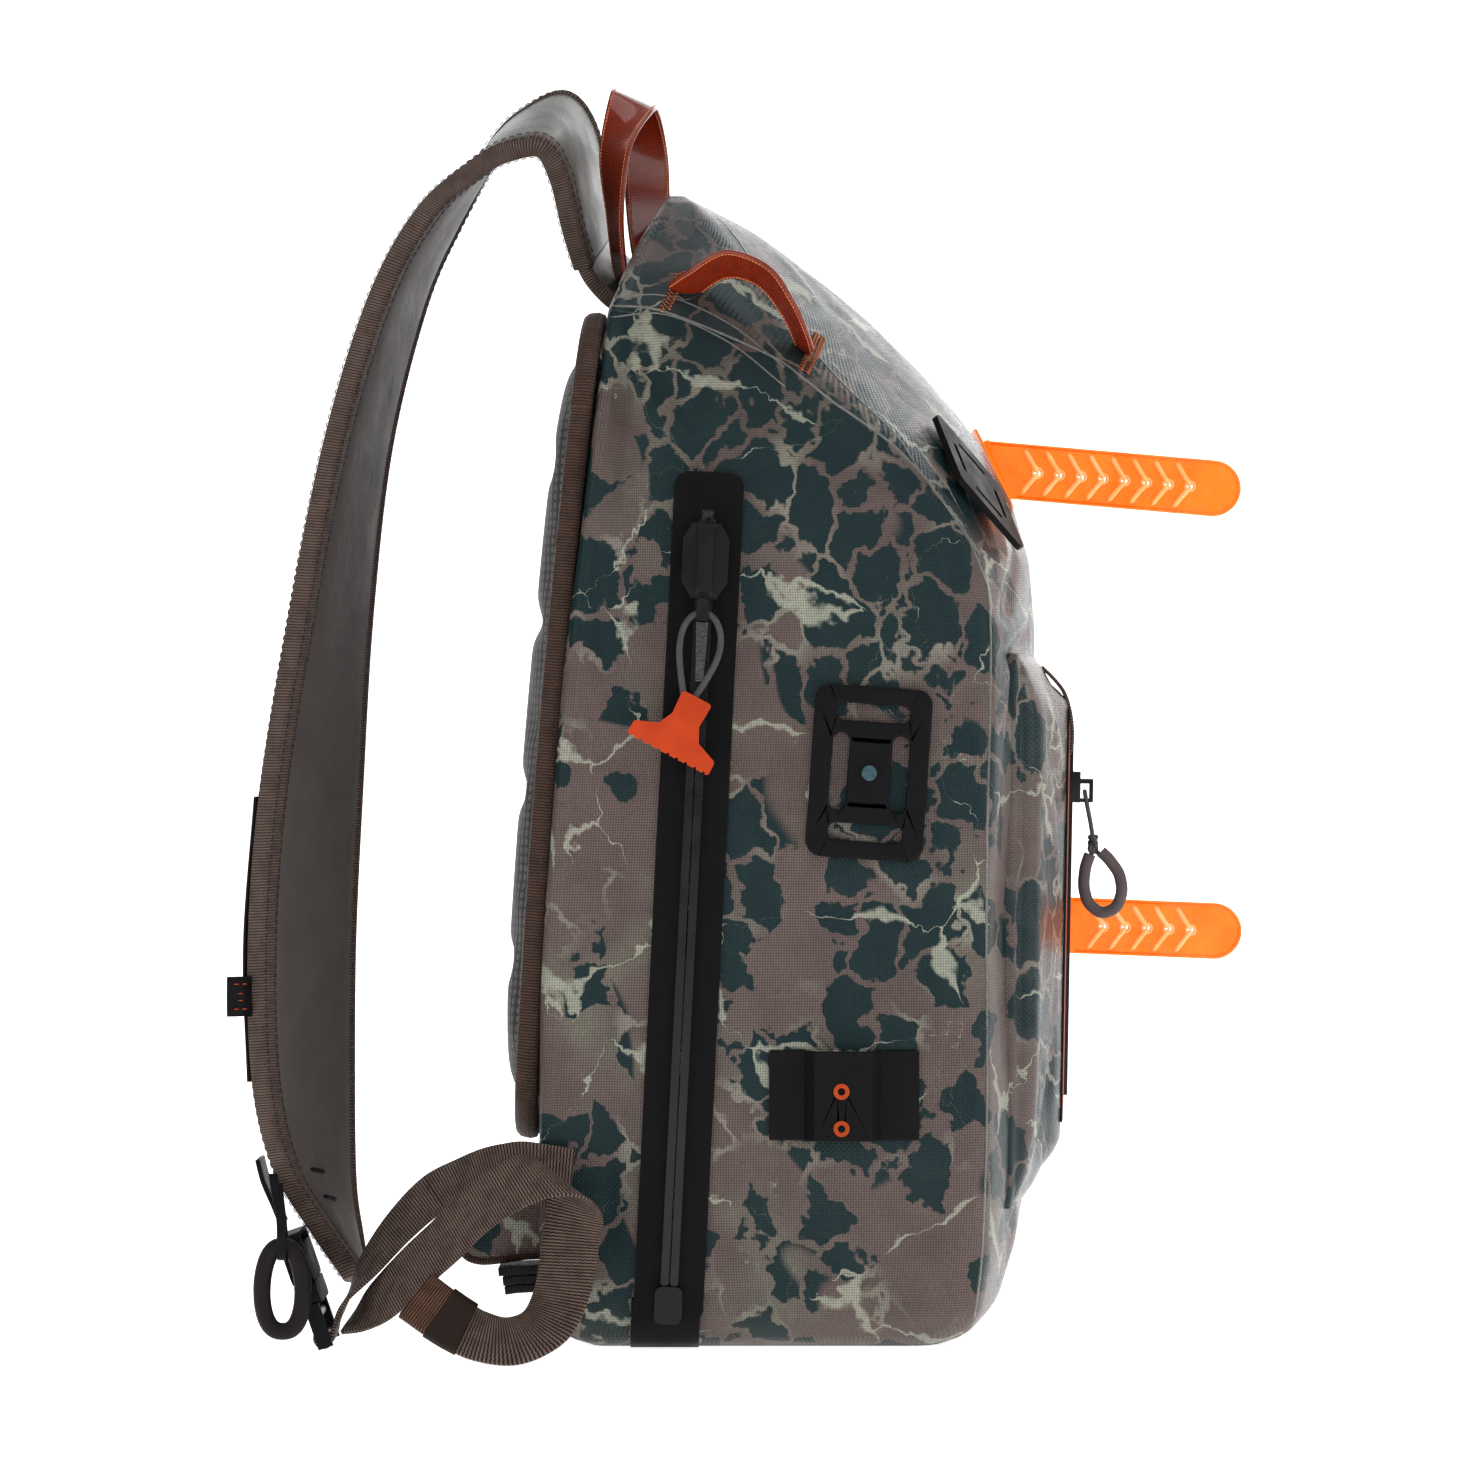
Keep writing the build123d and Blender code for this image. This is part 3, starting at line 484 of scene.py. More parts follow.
def ring_at(z):
    """One closed level of the bag, from the near rear corner round by the front to the back."""
    half, back, seam, front = level_at(z)
    deep = back - seam
    r = min(REAR_ROUND, deep * 0.3)
    f = min(FRONT_ROUND, deep * 0.25)
    inner = half - f
    turn = front_arc(inner, half, seam, front)
    side = np.linspace(back - r, seam + f, 80)
    x = np.linspace(-inner, inner, 121)
    across = np.linspace(half - r, -half + r, 92)
    near = np.column_stack([np.full(80, -half), side])
    far = np.column_stack([np.full(80, half), side[::-1]])
    arc = np.column_stack([x, front_arc(x, half, seam, front)])
    rear = np.column_stack([across, np.full(92, back)])
    return np.vstack([
        near, corner((-half, seam + f), (-half, seam), (-inner, turn), 7), arc,
        corner((inner, turn), (half, seam), (half, seam + f), 7), far,
        corner((half, back - r), (half, back), (half - r, back), 6), rear,
        corner((-half + r, back), (-half, back), (-half, back - r), 6)])


def crease(y, z, line, depth, width):
    """A soft fold along a line: a groove of depth with a raised roll beside it."""
    (y0, z0), (y1, z1) = line
    length = math.hypot(y1 - y0, z1 - z0)
    uy, uz = (y1 - y0) / length, (z1 - z0) / length
    t = ((y - y0) * uy + (z - z0) * uz) / length
    off = (y - y0) * -uz + (z - z0) * uy
    fade = np.clip(1 - np.abs(2 * t - 1) ** 3, 0, 1) * (t > 0) * (t < 1)
    groove = np.exp(-(off / width) ** 2)
    roll = np.exp(-((off - 1.7 * width) / (1.2 * width)) ** 2)
    return fade * depth * (0.55 * roll - groove)


SIDE_CREASES = [                       # (y, z) from, to, depth, width
    (((59, 418), (57, 322)), 4.2, 4.5),
    (((52, 408), (30, 366)), 3.4, 5.0),
    (((30, 366), (58, 318)), 2.6, 4.5),
    (((66, 360), (63, 250)), 1.5, 5.0),
    (((72, 280), (76, 140)), 1.0, 6.0),
    (((-66, 330), (-88, 262)), 1.5, 6.0),
    (((-78, 250), (-84, 130)), 1.0, 6.0),
    (((-60, 60), (-86, 22)), 1.2, 6.0),
    (((60, 60), (84, 24)), 1.2, 6.0),
    (((-20, 40), (-70, 16)), 1.0, 6.0)]
FRONT_CREASES = [                      # (x, z) from, to, depth, width
    (((-112, 292), (-70, 322)), 2.6, 5.5),
    (((-118, 276), (-60, 290)), 2.2, 5.0),
    (((-92, 330), (-40, 352)), 1.6, 6.0),
    (((-108, 240), (-96, 285)), 1.8, 4.0),
    (((96, 250), (60, 318)), 2.2, 5.5),
    (((112, 292), (66, 330)), 2.0, 5.5),
    (((-60, 420), (-20, 455)), 1.8, 5.0),
    (((62, 420), (24, 455)), 1.8, 5.0),
    (((-30, 395), (-8, 440)), 1.4, 5.0),
    (((40, 380), (16, 436)), 1.4, 5.0),
    (((-96, 60), (-70, 26)), 1.5, 6.0),
    (((96, 60), (70, 26)), 1.5, 6.0)]
FLAT_SPOTS = [                         # y, z, half height and half depth of what is welded on the near side
    (30, 182, 176, 17), (-41.6, 231.6, 37, 26), (-31.6, 102.8, 21, 33)]


def bag_nets():
    """The bag's net of points, with its sag and folds."""
    foot, crest = [0, 1.5, 3, 5, 7.5, 10, 13, 16], [467, 468.5, 470, TOP_Z]
    heights = np.concatenate([foot, np.arange(18.5, 466, 2.4), crest])
    net = np.array([[(x, y, z) for x, y in ring_at(z)] for z in heights])
    along = np.gradient(net, axis=0)
    around = np.roll(net, -1, 1) - np.roll(net, 1, 1)
    out = unit(np.cross(around, along))
    x, y, z = net[..., 0], net[..., 1], net[..., 2]
    sides = np.abs(out[..., 0]) > 0.8
    forward = (out[..., 1] < -0.15) & ~sides
    push = np.zeros(x.shape)
    for line, depth, width in SIDE_CREASES:
        push += np.where(sides, crease(y, z, line, depth, width), 0)
    for line, depth, width in FRONT_CREASES:
        push += np.where(forward, crease(x, z, line, depth, width), 0)
    soft = np.array([[noise.noise(Vector((a * 0.012, b * 0.012, c * 0.009 + 3.0))) for a, b, c in row]
                     for row in net[::2, ::2]])
    soft = np.repeat(np.repeat(soft, 2, 0), 2, 1)[:x.shape[0], :x.shape[1]]
    for axis in (0, 1):
        soft = (np.roll(soft, 1, axis) + soft + np.roll(soft, -1, axis)) / 3
    push += soft * 3.2 - 0.6
    rise = np.clip((z - 3) / 25, 0, 1) * np.clip((TOP_Z - z) / 20, 0, 1)
    push *= rise
    on_near = sides & (x < 0)
    for y0, z0, high, deep in FLAT_SPOTS:
        away = np.maximum(np.abs(y - y0) - deep, np.abs(z - z0) - high)
        push = np.where(on_near, push * np.clip(away / 14, 0, 1) ** 1.5, push)
    push = np.where(on_near, np.minimum(push, 0.9), push)
    behind = out[..., 1] > 0.6
    push = np.where(behind & (z > 70) & (z < 430), np.minimum(push, 0) - 0.4, push)
    net = net + out * push[..., None]
    net[..., 2] = np.maximum(net[..., 2], 0.0)
    return net


def bag_shell():
    net = bag_nets()
    middle = net.mean(axis=1, keepdims=True)
    under = [middle[0] + (net[0] - middle[0]) * s for s in (0.02, 0.5, 0.97)]
    over = []
    for s, lift in ((0.82, 0.7), (0.4, 1.1), (0.02, 1.2)):
        last = middle[-1] + (net[-1] - middle[-1]) * s
        last[:, 2] += lift
        over.append(last)
    net = np.concatenate([np.array(under), net, np.array(over)])
    run = np.concatenate([[0], np.cumsum(np.linalg.norm(np.diff(net[60], axis=0), axis=1)), [0]])
    run[-1] = run[-2] + np.linalg.norm(net[60][0] - net[60][-1])
    tall = net[:, :, 2].mean(axis=1)
    uv = np.zeros((net.shape[0], net.shape[1] + 1, 2))
    uv[..., 0] = run[None, :] * MM
    uv[..., 1] = tall[:, None] * MM
    obj = grid_piece("bag_shell", net * MM, uv, closed=True, caps=True)
    flat = net.reshape(-1, 3)
    inside = np.array([inside_seam(y, z) for _, y, z in flat], float) * (np.abs(flat[:, 0]) > 60)
    low = np.clip((22 - flat[:, 2]) / 22, 0, 1)
    paint(obj, "side_panel", inside)
    paint(obj, "near_ground", low)
    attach(obj, "pack")
    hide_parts("side_panel_near", "side_panel_far", "front_top_panel", "back_panel", "base_panel")
    return obj, BVHTree.FromPolygons([tuple(p) for p in flat * MM],
                                     [tuple(p.vertices) for p in obj.data.polygons])


def inside_seam(y, z):
    """Whether a point on a side lies behind and below the seam that joins the side to the front."""
    if z > SEAM[0][1]:
        return False
    for (y0, z0), (y1, z1) in zip(SEAM, SEAM[1:]):
        if z1 <= z <= z0:
            t = (z0 - z) / max(z0 - z1, 1e-6)
            return y > y0 + (y1 - y0) * t
    return y > -84


def paint(obj, name, values):
    attribute = obj.data.attributes.new(name, "FLOAT", "POINT")
    attribute.data.foreach_set("value", np.asarray(values, np.float32))


def laid(tree, starts, way, lift):
    """Points cast one way onto the bag, lifted off it, and its normals there, in millimetres."""
    points, normals = [], []
    for start in starts:
        hit, normal, _, _ = tree.ray_cast(Vector(start), Vector(way))
        if hit is None:
            continue
        n = np.array(normal) if np.dot(normal, way) < 0 else -np.array(normal)
        points.append(np.array(hit) / MM + n * lift)
        normals.append(n)
    return np.array(points), np.array(normals)


def on_side(tree, line, steps, lift=0.0, sign=-1):
    """A smooth line of (y, z) laid on a side of the bag."""
    flat = curve_through([(0, y, z) for y, z in line], steps)
    return laid(tree, [(sign * 0.3, y * MM, z * MM) for _, y, z in flat], (-sign, 0, 0), lift)


def on_front(tree, line, steps, lift):
    """The same for a line of (x, z) laid on the front."""
    flat = curve_through([(x, 0, z) for x, z in line], steps)
    return laid(tree, [(x * MM, -0.3, z * MM) for x, _, z in flat], (0, 1, 0), lift)


def bead(points, normals, width, high):
    """A low rounded ridge laid on a surface."""
    along = unit(np.gradient(points, axis=0))
    across = unit(np.cross(normals, along))
    shape = [(-0.5, -0.6), (-0.5, 0.15 * high), (-0.32, 0.75 * high), (0, high), (0.32, 0.75 * high),
             (0.5, 0.15 * high), (0.5, -0.6)]
    rows = [points + across * (u * width) + normals * v for u, v in shape]
    net = np.swapaxes(np.array(rows), 0, 1) * MM
    run = arc_lengths(points) * MM
    uv = np.zeros((net.shape[0], net.shape[1] + 1, 2))
    uv[..., 0] = run[:, None]
    uv[..., 1] = np.linspace(0, width * MM, net.shape[1] + 1)[None, :]
    return net, uv, True, True


# ---------------------------------------------------------------- fabrics
GROUND, TEAL, CREAM = rgb(98, 84, 80), rgb(15, 36, 40), rgb(160, 162, 146)
SPOTS_A_METRE, VEINS_A_METRE = 50, 17
THREAD_PITCH = 0.00107                           # metres


def camo_laminate():
    """Coated camouflage: taupe ground, crowded ragged teal spots, cream streaks and a coarse weave, with
    painted shade towards the top.
    """
    s = Shader("camo_laminate")
    place = s.here()
    sway = s.vec("SUBTRACT", s.noise(place, 34, 1, 0.5, "Color"), (0.5, 0.5, 0.5))
    lobes = s.vec("SUBTRACT", s.noise(place, 120, 2, 0.55, "Color"), (0.5, 0.5, 0.5))
    bent = s.vec("ADD", place, s.vec("MULTIPLY", sway, (0.021, 0.021, 0.021)))
    bent = s.vec("ADD", bent, s.vec("MULTIPLY", lobes, (0.0115, 0.0115, 0.0115)))
    tall = s.vec("MULTIPLY", bent, (1.0, 1.0, 0.78))
    edge = s.cells(tall, SPOTS_A_METRE, "DISTANCE_TO_EDGE", "Distance")
    pick = s.split(s.cells(tall, SPOTS_A_METRE, "F1", "Color"))[0]
    grouping = s.noise(place, 11, 1)
    # high eases from 0 at 0.30 m to 1 at 0.41 m up the bag. It is painted shade on the upper bag: more teal
    # spots are chosen here, and the ground is darkened below.
    high = s.ramp(s.split(place)[2], 0.30, 0.41)
    crowd = s.add(s.add(s.times(pick, 0.8), s.times(grouping, 1.35)), s.times(high, 0.22))
    chosen = s.ramp(crowd, 0.965, 0.985)
    spots = s.times(s.ramp(s.add(edge, s.times(s.noise(place, 28, 1), 0.09)), 0.085, 0.12), chosen)
    between = s.times(s.ramp(edge, 0.075, 0.02), s.ramp(s.noise(place, 30, 1), 0.52, 0.70, 0.0, 0.8))
    flat = s.vec("MULTIPLY", bent, (1.0, 0.8, 1.0))
    path = s.cells(flat, VEINS_A_METRE, "DISTANCE_TO_EDGE", "Distance")
    reach = s.ramp(s.noise(place, 34, 1), 0.44, 0.76, 0.0, 0.065)
    vein = s.ramp(s.math("SUBTRACT", 1.0, s.math("DIVIDE", path, s.add(reach, 0.0005))), 0.0, 0.75)
    haze = s.times(s.ramp(path, 0.26, 0.0), s.ramp(s.noise(place, 22, 2), 0.42, 0.68, 0.0, 0.6))
    base = s.mix(haze, GROUND, rgb(112, 114, 100))
    base = s.mix(s.times(s.ramp(s.noise(place, 60, 3), 0.35, 0.7), 0.4), base, rgb(76, 68, 66))
    # painted shade: the ground is darkened towards the top of the bag
    base = s.mix(s.times(high, 0.35), base, rgb(66, 56, 53))
    base = s.mix(s.times(between, 0.55), base, CREAM)
    base = s.mix(spots, base, s.mix(s.noise(place, 50, 2), TEAL, rgb(28, 48, 50)))
    base = s.mix(s.times(vein, 0.8), base, CREAM)
    u, v = s.cloth()
    slub = s.noise(place, 800, 2)
    threads = s.weave(u, v, THREAD_PITCH)
    shade = s.ramp(s.add(s.times(threads, 0.85), s.times(slub, 0.5)), 0.2, 1.15, 0.38, 1.42)
    woven = s.mix(1.0, base, s.join(shade, shade, shade), "MULTIPLY")
    panel = s.painted("side_panel")
    calm = s.mix(0.35, woven, base)
    color = s.mix(panel, calm, woven)
    # a darker, greyer colour on the bottom 22 mm of the bag, from the near_ground attribute
    bottom_tint = s.times(s.painted("near_ground"), 0.3)
    s.set("Base Color", s.mix(bottom_tint, color, rgb(84, 80, 74)))
    s.set("Roughness", s.ramp(s.noise(place, 70, 3), 0.3, 0.7, 0.42, 0.58))
    s.set("Specular IOR Level", 0.12)
    s.set("Coat Weight", s.ramp(panel, 0.0, 1.0, 0.45, 0.14))
    s.set("Coat Roughness", s.ramp(panel, 0.0, 1.0, 0.15, 0.22))
    waves = s.bump(s.noise(place, 26, 2), 0.0022)
    s.set("Normal", s.bump(threads, 0.00022, waves))
    s.set("Coat Normal", s.bump(threads, 0.00006, waves))
    return s


def webbing(name, tone, light, rib, rough, gloss, depth):
    """Woven tape: ribs across it, in rows of threads that are slightly offset."""
    s = Shader(name)
    u, v = s.cloth()
    place = s.here()
    rows = s.math("FLOOR", s.times(v, 1 / 0.0013))
    offset = s.times(s.math("FRACT", s.times(rows, 0.5)), rib * 0.25)
    threads = s.ridges(s.add(u, offset), rib)
    between = s.ridges(v, 0.0013)
    cloth = s.times(s.ramp(threads, 0.3, 0.9), s.ramp(between, 0.0, 0.5, 0.75, 1.0))
    worn = s.noise(place, 160, 3)
    mixed = s.mix(s.ramp(cloth, 0.1, 0.95), tone, light)
    mixed = s.mix(s.ramp(worn, 0.35, 0.75, 0.0, 0.4), mixed, tuple(c * 0.6 for c in tone))
    s.set("Base Color", mixed)
    s.set("Roughness", s.ramp(worn, 0.2, 0.8, rough - 0.08, rough + 0.1))
    s.set("Coat Weight", gloss)
    s.set("Coat Roughness", 0.12)
    s.set("Specular IOR Level", 0.12)
    s.set("Sheen Weight", 0.05 if gloss == 0 else 0.0)
    s.set("Normal", s.bump(cloth, depth))
    return s


def moulded(name, tone, rough, grain=0.00002, scale=2600, coat=0.0, spread=0.35, level=0.1):
    """Moulded rubber or plastic with a fine grain, uneven gloss and paler edges."""
    s = Shader(name)
    place = s.here()
    fine = s.noise(place, scale, 2)
    broad = s.noise(place, 90, 3)
    # the colour turns paler where the bevelled normal leans away from the flat one, along rounded edges
    worn = s.node("ShaderNodeBevel", {"Radius": 0.0007}, samples=4).outputs[0]
    flat = s.node("ShaderNodeNewGeometry").outputs["Normal"]
    rim = s.node("ShaderNodeVectorMath", {0: worn, 1: flat}, operation="DOT_PRODUCT").outputs["Value"]
    rim = s.ramp(rim, 0.995, 0.90, 0.0, spread)
    tone_low = tuple(c * 0.82 for c in tone)
    base = s.mix(s.ramp(broad, 0.3, 0.7), tone_low, tone)
    pale = tuple(min(c * 1.8 + 0.012, 1.0) for c in tone)
    s.set("Base Color", s.mix(rim, base, pale))
    s.set("Roughness", s.ramp(s.add(broad, s.times(fine, 0.3)), 0.4, 0.9, rough - 0.07, rough + 0.1))
    s.set("Specular IOR Level", level)
    s.set("Coat Weight", coat)
    s.set("Coat Roughness", 0.18)
    s.set("Normal", s.bump(fine, grain))
    return s


def strap_shell_cloth():
    """Smooth grey-green coated face of the strap, with a faint camouflage showing through."""
    s = Shader("strap_shell")
    place = s.here()
    patches = s.ramp(s.noise(place, 26, 3, 0.6), 0.42, 0.6)
    base = s.mix(patches, rgb(76, 76, 72), rgb(48, 50, 48))
    u, v = s.cloth()
    threads = s.weave(u, v, 0.0012)
    s.set("Base Color", s.mix(s.times(threads, 0.16), base, rgb(120, 122, 110)))
    s.set("Roughness", s.ramp(s.noise(place, 80, 3), 0.3, 0.7, 0.30, 0.44))
    s.set("Coat Weight", 0.2)
    s.set("Coat Roughness", 0.2)
    s.set("Normal", s.bump(threads, 0.00006, s.bump(s.noise(place, 34, 2), 0.0012)))
    s.set("Specular IOR Level", 0.15)
    return s


def foam_cloth():
    """Dark knitted face of the strap's foam."""
    s = Shader("pad_foam")
    place = s.here()
    u, v = s.cloth()
    knit = s.weave(s.add(u, v), s.math("SUBTRACT", u, v), 0.0011)
    broad = s.noise(place, 55, 3)
    base = s.mix(broad, rgb(54, 47, 45), rgb(74, 66, 63))
    s.set("Base Color", s.mix(s.times(knit, 0.12), base, rgb(98, 88, 84)))
    s.set("Roughness", s.ramp(broad, 0.3, 0.7, 0.44, 0.58))
    s.set("Sheen Weight", 0.15)
    s.set("Normal", s.bump(knit, 0.00004, s.bump(broad, 0.0012)))
    return s


def pad_mesh_cloth():
    """Air mesh of the back pad: rows of small holes."""
    s = Shader("pad_mesh")
    place = s.here()
    flat = s.split(place)
    holes = s.times(s.ridges(flat[0], 0.0036), s.ridges(flat[2], 0.0036))
    holes = s.ramp(holes, 0.25, 0.7)
    broad = s.noise(place, 40, 3)
    base = s.mix(broad, rgb(58, 57, 57), rgb(78, 77, 75))
    s.set("Base Color", s.mix(holes, rgb(24, 24, 25), base))
    s.set("Roughness", s.ramp(broad, 0.3, 0.7, 0.75, 0.9))
    s.set("Sheen Weight", 0.2)
    s.set("Normal", s.bump(holes, 0.0005))
    return s


def lash_rubber(name, tone, light):
    """Translucent bright orange moulded strap, with a painted glow from emission."""
    s = Shader(name)
    place = s.here()
    cloudy = s.noise(place, 70, 2)
    s.set("Base Color", s.mix(s.ramp(cloudy, 0.3, 0.7), tone, light))
    s.set("Subsurface Weight", 0.5)
    s.set("Subsurface Radius", (0.012, 0.006, 0.001))
    s.set("Subsurface Scale", 0.5)
    s.set("Roughness", s.ramp(s.noise(place, 200, 2), 0.3, 0.7, 0.22, 0.34))
    # painted glow: an orange emission makes the rubber shine with light of its own
    s.set("Emission Color", rgb(255, 120, 8))
    s.set("Emission Strength", 0.3)
    s.set("Normal", s.bump(s.noise(place, 420, 2), 0.00005))
    return s


def weld_film():
    """Clear film at a weld, seen as a pale glossy line."""
    s = Shader("weld_film")
    place = s.here()
    s.set("Base Color", s.mix(s.noise(place, 240, 3), rgb(70, 68, 64), rgb(118, 118, 110)))
    s.set("Roughness", s.ramp(s.noise(place, 300, 2), 0.3, 0.7, 0.16, 0.34))
    s.set("Coat Weight", 0.7)
    s.set("Coat Roughness", 0.1)
    s.set("Normal", s.bump(s.noise(place, 500, 2), 0.0001))
    return s


def cord_cover(name, tone, light):
    """Braided cover of a curve, which has no cloth map: strands wound by their place in space."""
    s = Shader(name)
    place = s.here()
    x, y, z = s.split(place)
    left = s.ridges(s.add(z, s.times(y, 0.9)), 0.0011)
    right = s.ridges(s.math("SUBTRACT", z, s.times(s.add(y, x), 0.9)), 0.0011)
    braid = s.math("MAXIMUM", s.times(left, 0.9), right)
    dirt = s.noise(place, 300, 2)
    s.set("Base Color", s.mix(s.times(braid, s.ramp(dirt, 0.2, 0.7, 0.6, 1.0)), tone, light))
    s.set("Roughness", s.ramp(dirt, 0.3, 0.7, 0.58, 0.78))
    s.set("Normal", s.bump(braid, 0.0002))
    return s


def metal(name, tone, rough):
    """Brushed metal."""
    s = Shader(name, Metallic=1.0)
    place = s.here()
    lines = s.noise(s.vec("MULTIPLY", place, (1.0, 1.0, 12.0)), 500, 2)
    s.set("Base Color", s.mix(lines, tone, tuple(c * 0.7 for c in tone)))
    s.set("Roughness", s.ramp(lines, 0.3, 0.7, rough - 0.06, rough + 0.1))
    s.set("Normal", s.bump(lines, 0.00001))
    return s


def materials():
    m = {"camo": camo_laminate(), "strap_shell": strap_shell_cloth(), "foam": foam_cloth(),
         "pad_mesh": pad_mesh_cloth(), "weld": weld_film(),
         "post": metal("slider_post", rgb(120, 122, 126), 0.22),
         "steel": metal("steel", rgb(90, 120, 130), 0.3),
         "cord": cord_cover("pull_cord", rgb(34, 33, 33), rgb(84, 80, 77))}
    for key, name, tone, light, *rest in WEBBINGS:
        m[key] = webbing(name, rgb(*tone), rgb(*light), *rest)
    for key, name, tone, *rest in MOULDINGS:
        m[key] = moulded(name, rgb(*tone), *rest)
    for key, name, tone, light in LASH_RUBBERS:
        m[key] = lash_rubber(name, rgb(*tone), rgb(*light))
    return m


WEBBINGS = [                           # key, name, tone, light, rib (m), roughness, gloss, depth (m)
    ("brown_webbing", "brown_webbing", (38, 26, 22), (122, 102, 92), 0.00125, 0.6, 0.0, 0.0004),
    # near-black webbing, painted shade: the stubs under the wing sit in its shadow
    ("shaded_webbing", "shaded_webbing_tape", (20, 18, 18), (44, 40, 38), 0.00115, 0.6, 0.0, 0.0003),
    ("tail_end", "tail_end_webbing", (48, 30, 23), (118, 82, 64), 0.00115, 0.6, 0.0, 0.0004),
    ("orange_webbing", "orange_webbing", (104, 26, 6), (146, 44, 14), 0.0011, 0.3, 0.85, 0.00008),
    ("orange_edge", "orange_thread", (176, 72, 36), (226, 150, 104), 0.0016, 0.5, 0.0, 0.00022),
    ("binding", "brown_binding", (58, 46, 41), (108, 90, 82), 0.0012, 0.62, 0.0, 0.0003),
    ("pad_binding", "dark_binding", (46, 32, 27), (88, 66, 56), 0.0012, 0.55, 0.0, 0.0003),
    ("thread", "dark_thread", (46, 40, 36), (84, 76, 70), 0.0009, 0.7, 0.0, 0.00022)]
MOULDINGS = [                          # key, name, tone, roughness, grain (m), its scale, coat, edge paling, specular
    ("zip_rubber", "zip_rubber", (13, 13, 14), 0.44, 0.00003, 1800, 0.0, 0.2),
    ("zip_chain", "zip_chain", (14, 14, 16), 0.3, 0.00001, 1800, 0.15, 0.2, 0.3),
    ("slider", "slider_plastic", (15, 15, 16), 0.36, 0.00002, 2400, 0.05, 0.25, 0.25),
    ("eyelet", "orange_eyelet", (190, 74, 30), 0.5),
    ("orange_rubber", "orange_rubber", (200, 68, 30), 0.52, 0.00003, 1500, 0.0, 0.25),
    ("grey_rubber", "grey_rubber", (98, 87, 87), 0.55),
    ("black_rubber", "black_rubber", (19, 18, 20), 0.5, 0.00003, 2000, 0.0, 0.15),
    ("buckle", "buckle_plastic", (20, 20, 22), 0.52, 0.00002, 2400, 0.0, 0.12),
    ("ring", "ring_rubber", (34, 29, 29), 0.5, 0.00005, 1200, 0.0, 0.2),
    ("coral", "coral_trim", (196, 104, 84), 0.5, 0.00002, 1200),
    ("bar_end", "bar_plastic", (46, 48, 52), 0.3, 0.00001, 2400, 0.2, 0.3, 0.3),
    ("pocket_zip", "pocket_zip", (24, 22, 22), 0.5, 0.0001, 900),
    ("keeper", "keeper_rubber", (44, 34, 28), 0.5),
    ("liner", "liner_mesh", (60, 62, 64), 0.7, 0.0001, 700)]
LASH_RUBBERS = [                       # key, name, tone, light
    ("lash", "orange_tpu", (255, 122, 8), (255, 138, 26)),
    ("lash_rib", "orange_tpu_rib", (255, 186, 112), (255, 206, 150)),
    ("lash_rim", "orange_tpu_rim", (206, 92, 10), (222, 110, 20))]


NODE_FINISH = {                        # CAD nodes that stay: material, bevel in millimetres
    "main_zip_tape": ("zip_rubber", 0.5), "main_zip_chain_front": ("zip_chain", 1.0),
    "main_zip_chain_rear": ("zip_chain", 1.0), "main_zip_bottom_stop": ("slider", 1.2),
    "main_slider_body": ("slider", 0.9), "main_slider_bridge": ("slider", 0.8),
    "main_slider_post": ("post", 0.7), "main_pull_tab": ("orange_rubber", 0.7),
    "accessory_plate": ("black_rubber", 0.9), "accessory_plate_rivet": ("steel", 0.4),
    "tool_tab": ("black_rubber", 0.7), "tool_tab_eyelets": ("eyelet", 0.25),
    "lash_patch_near": ("black_rubber", 0.9), "lash_patch_far": ("black_rubber", 0.9),
    "lash_base_upper": ("lash", 0.4), "lash_base_lower": ("lash", 0.4),
    "lash_strap_upper": ("lash", 0.7), "lash_strap_lower": ("lash", 0.7),
    "pocket_zip_tape": ("pocket_zip", 0.3), "pocket_zip_coil": ("zip_chain", 0.5),
    "pocket_slider": ("slider", 0.6), "pocket_pull_sleeve": ("grey_rubber", 0.0),
    "buckle_female": ("buckle", 1.0), "buckle_male": ("buckle", 0.8), "buckle_collar": ("bar_end", 0.5),
    "adjuster_bar": ("bar_end", 0.5),
    "inner_slip_pocket": ("liner", 0.6)}


def dress_nodes(m):
    for node, (finish, width) in NODE_FINISH.items():
        smooth(NODES[node])
        if width:
            bevelled(NODES[node], width)
        m[finish].finish(NODES[node])


# ---------------------------------------------------------------- the zippers' pulls
def zip_frame():
    """Origin, and the directions forwards, up the zipper and out of the bag, in millimetres."""
    low, high = np.array([ZIP_FACE, *ZIP_LOW]), np.array([ZIP_FACE, *ZIP_HIGH])
    up = unit(high - low)
    out = np.array([-1.0, 0, 0])
    return (low + high) / 2, np.cross(up, out), up, out


def pocket_face(z):
    """How far forward (y) the pocket's zipper lies at height z."""
    return -124.4 - 3.2 * (z - 82) / 172


def pocket_frame():
    """The same for the pocket's zipper."""
    low, high = [np.array([POCKET_ZIP_X, pocket_face(z), z]) for z in (POCKET_ZIP_LOW, POCKET_ZIP_HIGH)]
    up = unit(high - low)
    across = np.array([math.cos(math.radians(5)), -math.sin(math.radians(5)), 0])
    out = unit(np.cross(across, up))
    return (low + high) / 2 + out * 0.9, across, np.cross(out, across), out


def place(axes, local):
    origin, x, y, z = axes
    return [origin + x * a + y * b + z * c for a, b, c in local]


def cord_curve(name, points, diameter):
    data = bpy.data.curves.new(name, "CURVE")
    data.dimensions = "3D"
    data.bevel_depth = diameter / 2 * MM
    data.bevel_resolution = 4
    data.resolution_u = 12
    data.use_fill_caps = True
    spline = data.splines.new("NURBS")
    spline.points.add(len(points) - 1)
    for p, q in zip(spline.points, points):
        p.co = (*[float(v) * MM for v in q], 1.0)
    spline.order_u = 3
    spline.use_endpoint_u = True
    obj = bpy.data.objects.new(name, data)
    bpy.context.scene.collection.objects.link(obj)
    return obj


